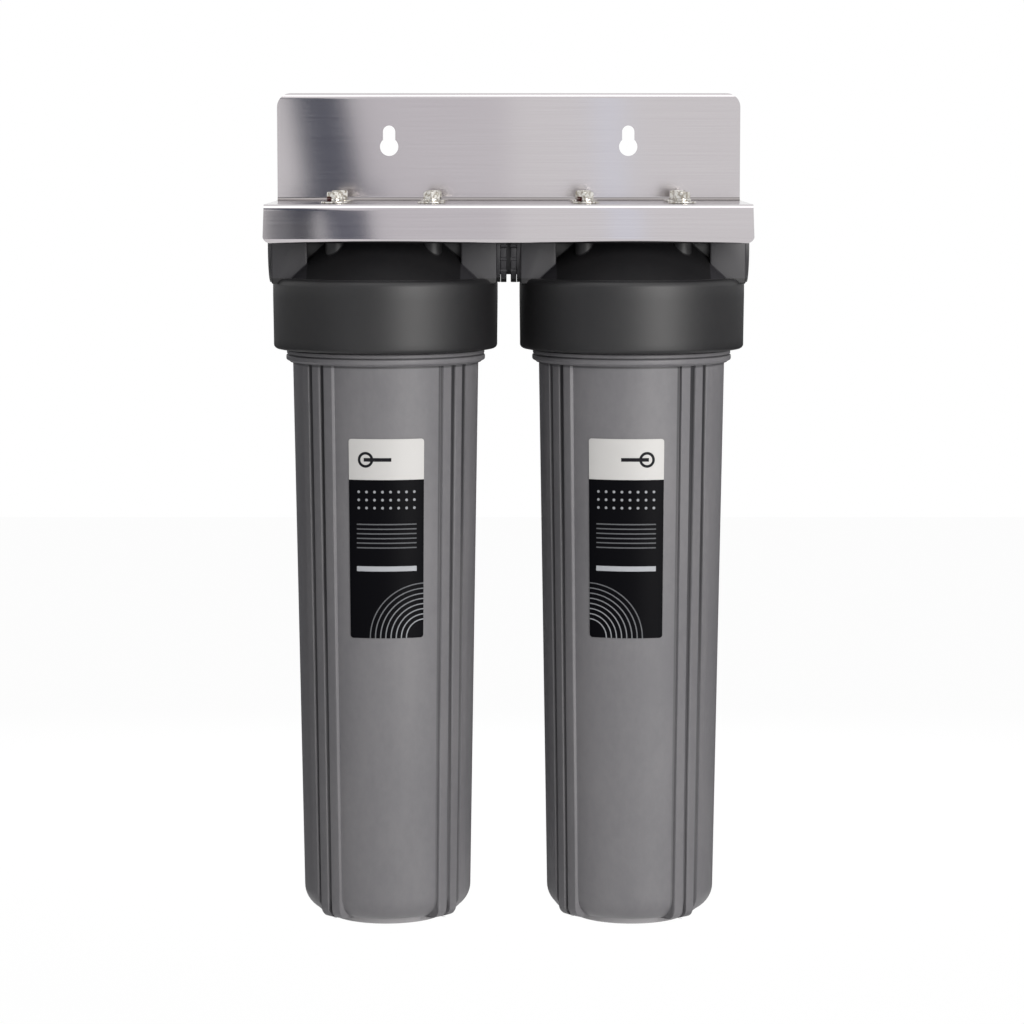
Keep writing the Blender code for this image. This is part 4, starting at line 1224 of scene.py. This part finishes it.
# camera, floor, world and lamps
studio = {
    "lens": 123.68,
    "camera": (0.0028, -3.0, -0.030),
    "pitch": 6.196,
    "floor": -1.02,
    "worldGlow": 0.17,
    "floorGlow": 0.97,
    "lamps": [
        # name, place, size, watts, colour, whether glossy surfaces mirror it
        ("key", (1.45, -2.65, 0.45), (1.5, 2.4), 114, (1.0, 0.985, 0.965), True),
        ("fill", (-1.9, -2.3, 0.3), (0.9, 1.8), 4, (0.96, 0.98, 1.0), True),
        ("top", (0.1, -0.6, 1.9), (2.4, 1.6), 14, (1.0, 1.0, 1.0), True),
        ("rear", (0.0, 2.6, 0.4), (1.8, 2.0), 60, (1.0, 1.0, 1.0), False),
    ],
    "aim": (0.0, -0.11, -0.32),
    "sparingLamp": "key",
    "sparedPiece": "foldedBracket",
    "cards": [
        # cards that only glossy surfaces mirror: name, place, size, point faced, lean in degrees, glow
        ("leftCard", (-1.1, -0.30, -0.60), (1.5, 0.86), (0.0, -0.11, -0.60), 0, (0.20, 0.20, 0.21)),
        ("rightCard", (1.15, 0.05, -0.60), (1.6, 0.86), (0.0, -0.11, -0.60), 0, (0.08, 0.08, 0.085)),
        ("leftBackCard", (-0.85, 0.80, -0.60), (1.3, 0.86), (-0.2, -0.11, -0.60), 0, (0.12, 0.12, 0.13)),
        ("rightBackCard", (0.85, 0.80, -0.60), (1.3, 0.86), (0.2, -0.11, -0.60), 0, (0.06, 0.06, 0.065)),
        ("gapCard", (0.0, 0.12, -0.48), (0.22, 0.60), (0.0, -0.11, -0.48), 0, (0.03, 0.03, 0.03)),
        ("plateCard", (-0.189, -0.45, 0.03), (0.054, 0.26), (-0.189, 0.0, 0.03), 9, (0.055, 0.068, 0.105)),
        ("lipEndCard", (-0.2008, -0.45, -0.145), (0.026, 0.11), (-0.2008, 0, -0.145), 0, (0.24, 0.245, 0.26)),
        ("lipDarkCard", (-0.1775, -0.45, -0.145), (0.02, 0.11), (-0.1775, 0, -0.145), 3, (0.06, 0.065, 0.08)),
        ("lipCard", (-0.1385, -0.45, -0.145), (0.039, 0.11), (-0.1385, 0.0, -0.145), 5, (0.15, 0.16, 0.20)),
        ("dimCard", (-0.075, -0.46, -0.03), (0.15, 0.45), (-0.075, 0.0, -0.03), 0, (0.86, 0.85, 0.87)),
        ("blueCard", (0.098, -0.45, -0.03), (0.030, 0.40), (0.098, 0.0, -0.03), 3, (1.02, 1.06, 1.14)),
    ],
}


def aimAt(thing, place, target):
    thing.location = place
    thing.rotation_euler = (Vector(target) - Vector(place)).to_track_quat("-Z", "Y").to_euler()


def makeCamera():
    camera = newObject("camera", bpy.data.cameras.new("camera"))
    camera.data.lens = studio["lens"]
    camera.data.sensor_width = 36
    camera.location = studio["camera"]
    camera.rotation_euler = (math.radians(90 - studio["pitch"]), 0, 0)
    bpy.context.scene.camera = camera


# one lamp spares the sheet, which would mirror it whole and turn white when seen from the left
def makeLamps():
    for name, place, size, watts, colour, glossy in studio["lamps"]:
        lamp = bpy.data.lights.new(name, "AREA")
        lamp.shape = "RECTANGLE"
        lamp.size, lamp.size_y = size
        lamp.energy = watts
        lamp.color = colour
        holder = newObject(name, lamp)
        aimAt(holder, place, studio["aim"])
        holder.visible_glossy = glossy
        if name == studio["sparingLamp"]:
            spared = bpy.data.collections.new("sparedSheet")
            spared.objects.link(bpy.data.objects[studio["sparedPiece"]])
            spared.collection_objects[0].light_linking.link_state = "EXCLUDE"
            holder.light_linking.receiver_collection = spared


# 1 for rays that see a thing themselves or by a mirror, 0 for those that only carry light
def seenShare(paint):
    path = paint.node("ShaderNodeLightPath").socket.node
    camera, glossy, clear = (Wire(paint, path.outputs[f"Is {kind} Ray"])
                             for kind in ("Camera", "Glossy", "Transmission"))
    return (camera + glossy + clear).maths("MINIMUM", 1.0)


def glow(paint, colour):
    return paint.node("ShaderNodeEmission", None, {"Color": (*colour, 1), "Strength": 1.0})


def makeFloor():
    shape = bmesh.new()
    bmesh.ops.create_grid(shape, x_segments=2, y_segments=2, size=6)
    floor = newObject("floor", toMesh("floor", move(shape, (0, 0, studio["floor"]))))
    paint = Paint("paleFloor", Roughness=0.9, Base_Color=(0.92, 0.92, 0.92, 1))
    mixed = paint.node("ShaderNodeMixShader", None, {
        0: seenShare(paint) * studio["floorGlow"], 1: Wire(paint, paint.shader.outputs[0]),
        2: glow(paint, (1, 1, 1))})
    paint.feed(paint.output.inputs[0], mixed)
    floor.data.materials.append(paint.material)


def makeCards():
    for name, place, size, faced, lean, shine in studio["cards"]:
        card = newObject(name, toMesh(name, turned(flatSheet(*size), math.radians(lean), "Z")))
        aimAt(card, place, faced)
        card.visible_camera = False
        card.visible_diffuse = False
        card.visible_shadow = False
        paint = Paint(name)
        paint.feed(paint.output.inputs[0], glow(paint, shine))
        card.data.materials.append(paint.material)


# a white sky to the eye and in mirrors, and a dim one as a lamp
def makeWorld():
    world = bpy.data.worlds.new("studio")
    bpy.context.scene.world = world
    paint = WorldPaint(world)
    strength = seenShare(paint).spread(studio["worldGlow"], 1.0)
    sky = paint.node("ShaderNodeBackground", None, {"Color": (1, 1, 1, 1), "Strength": strength})
    paint.feed(paint.tree.nodes.new("ShaderNodeOutputWorld").inputs["Surface"], sky)


makeCamera()
makeLamps()
makeFloor()
makeCards()
makeWorld()
bpy.context.scene.view_settings.view_transform = "Standard"
print("studio made")
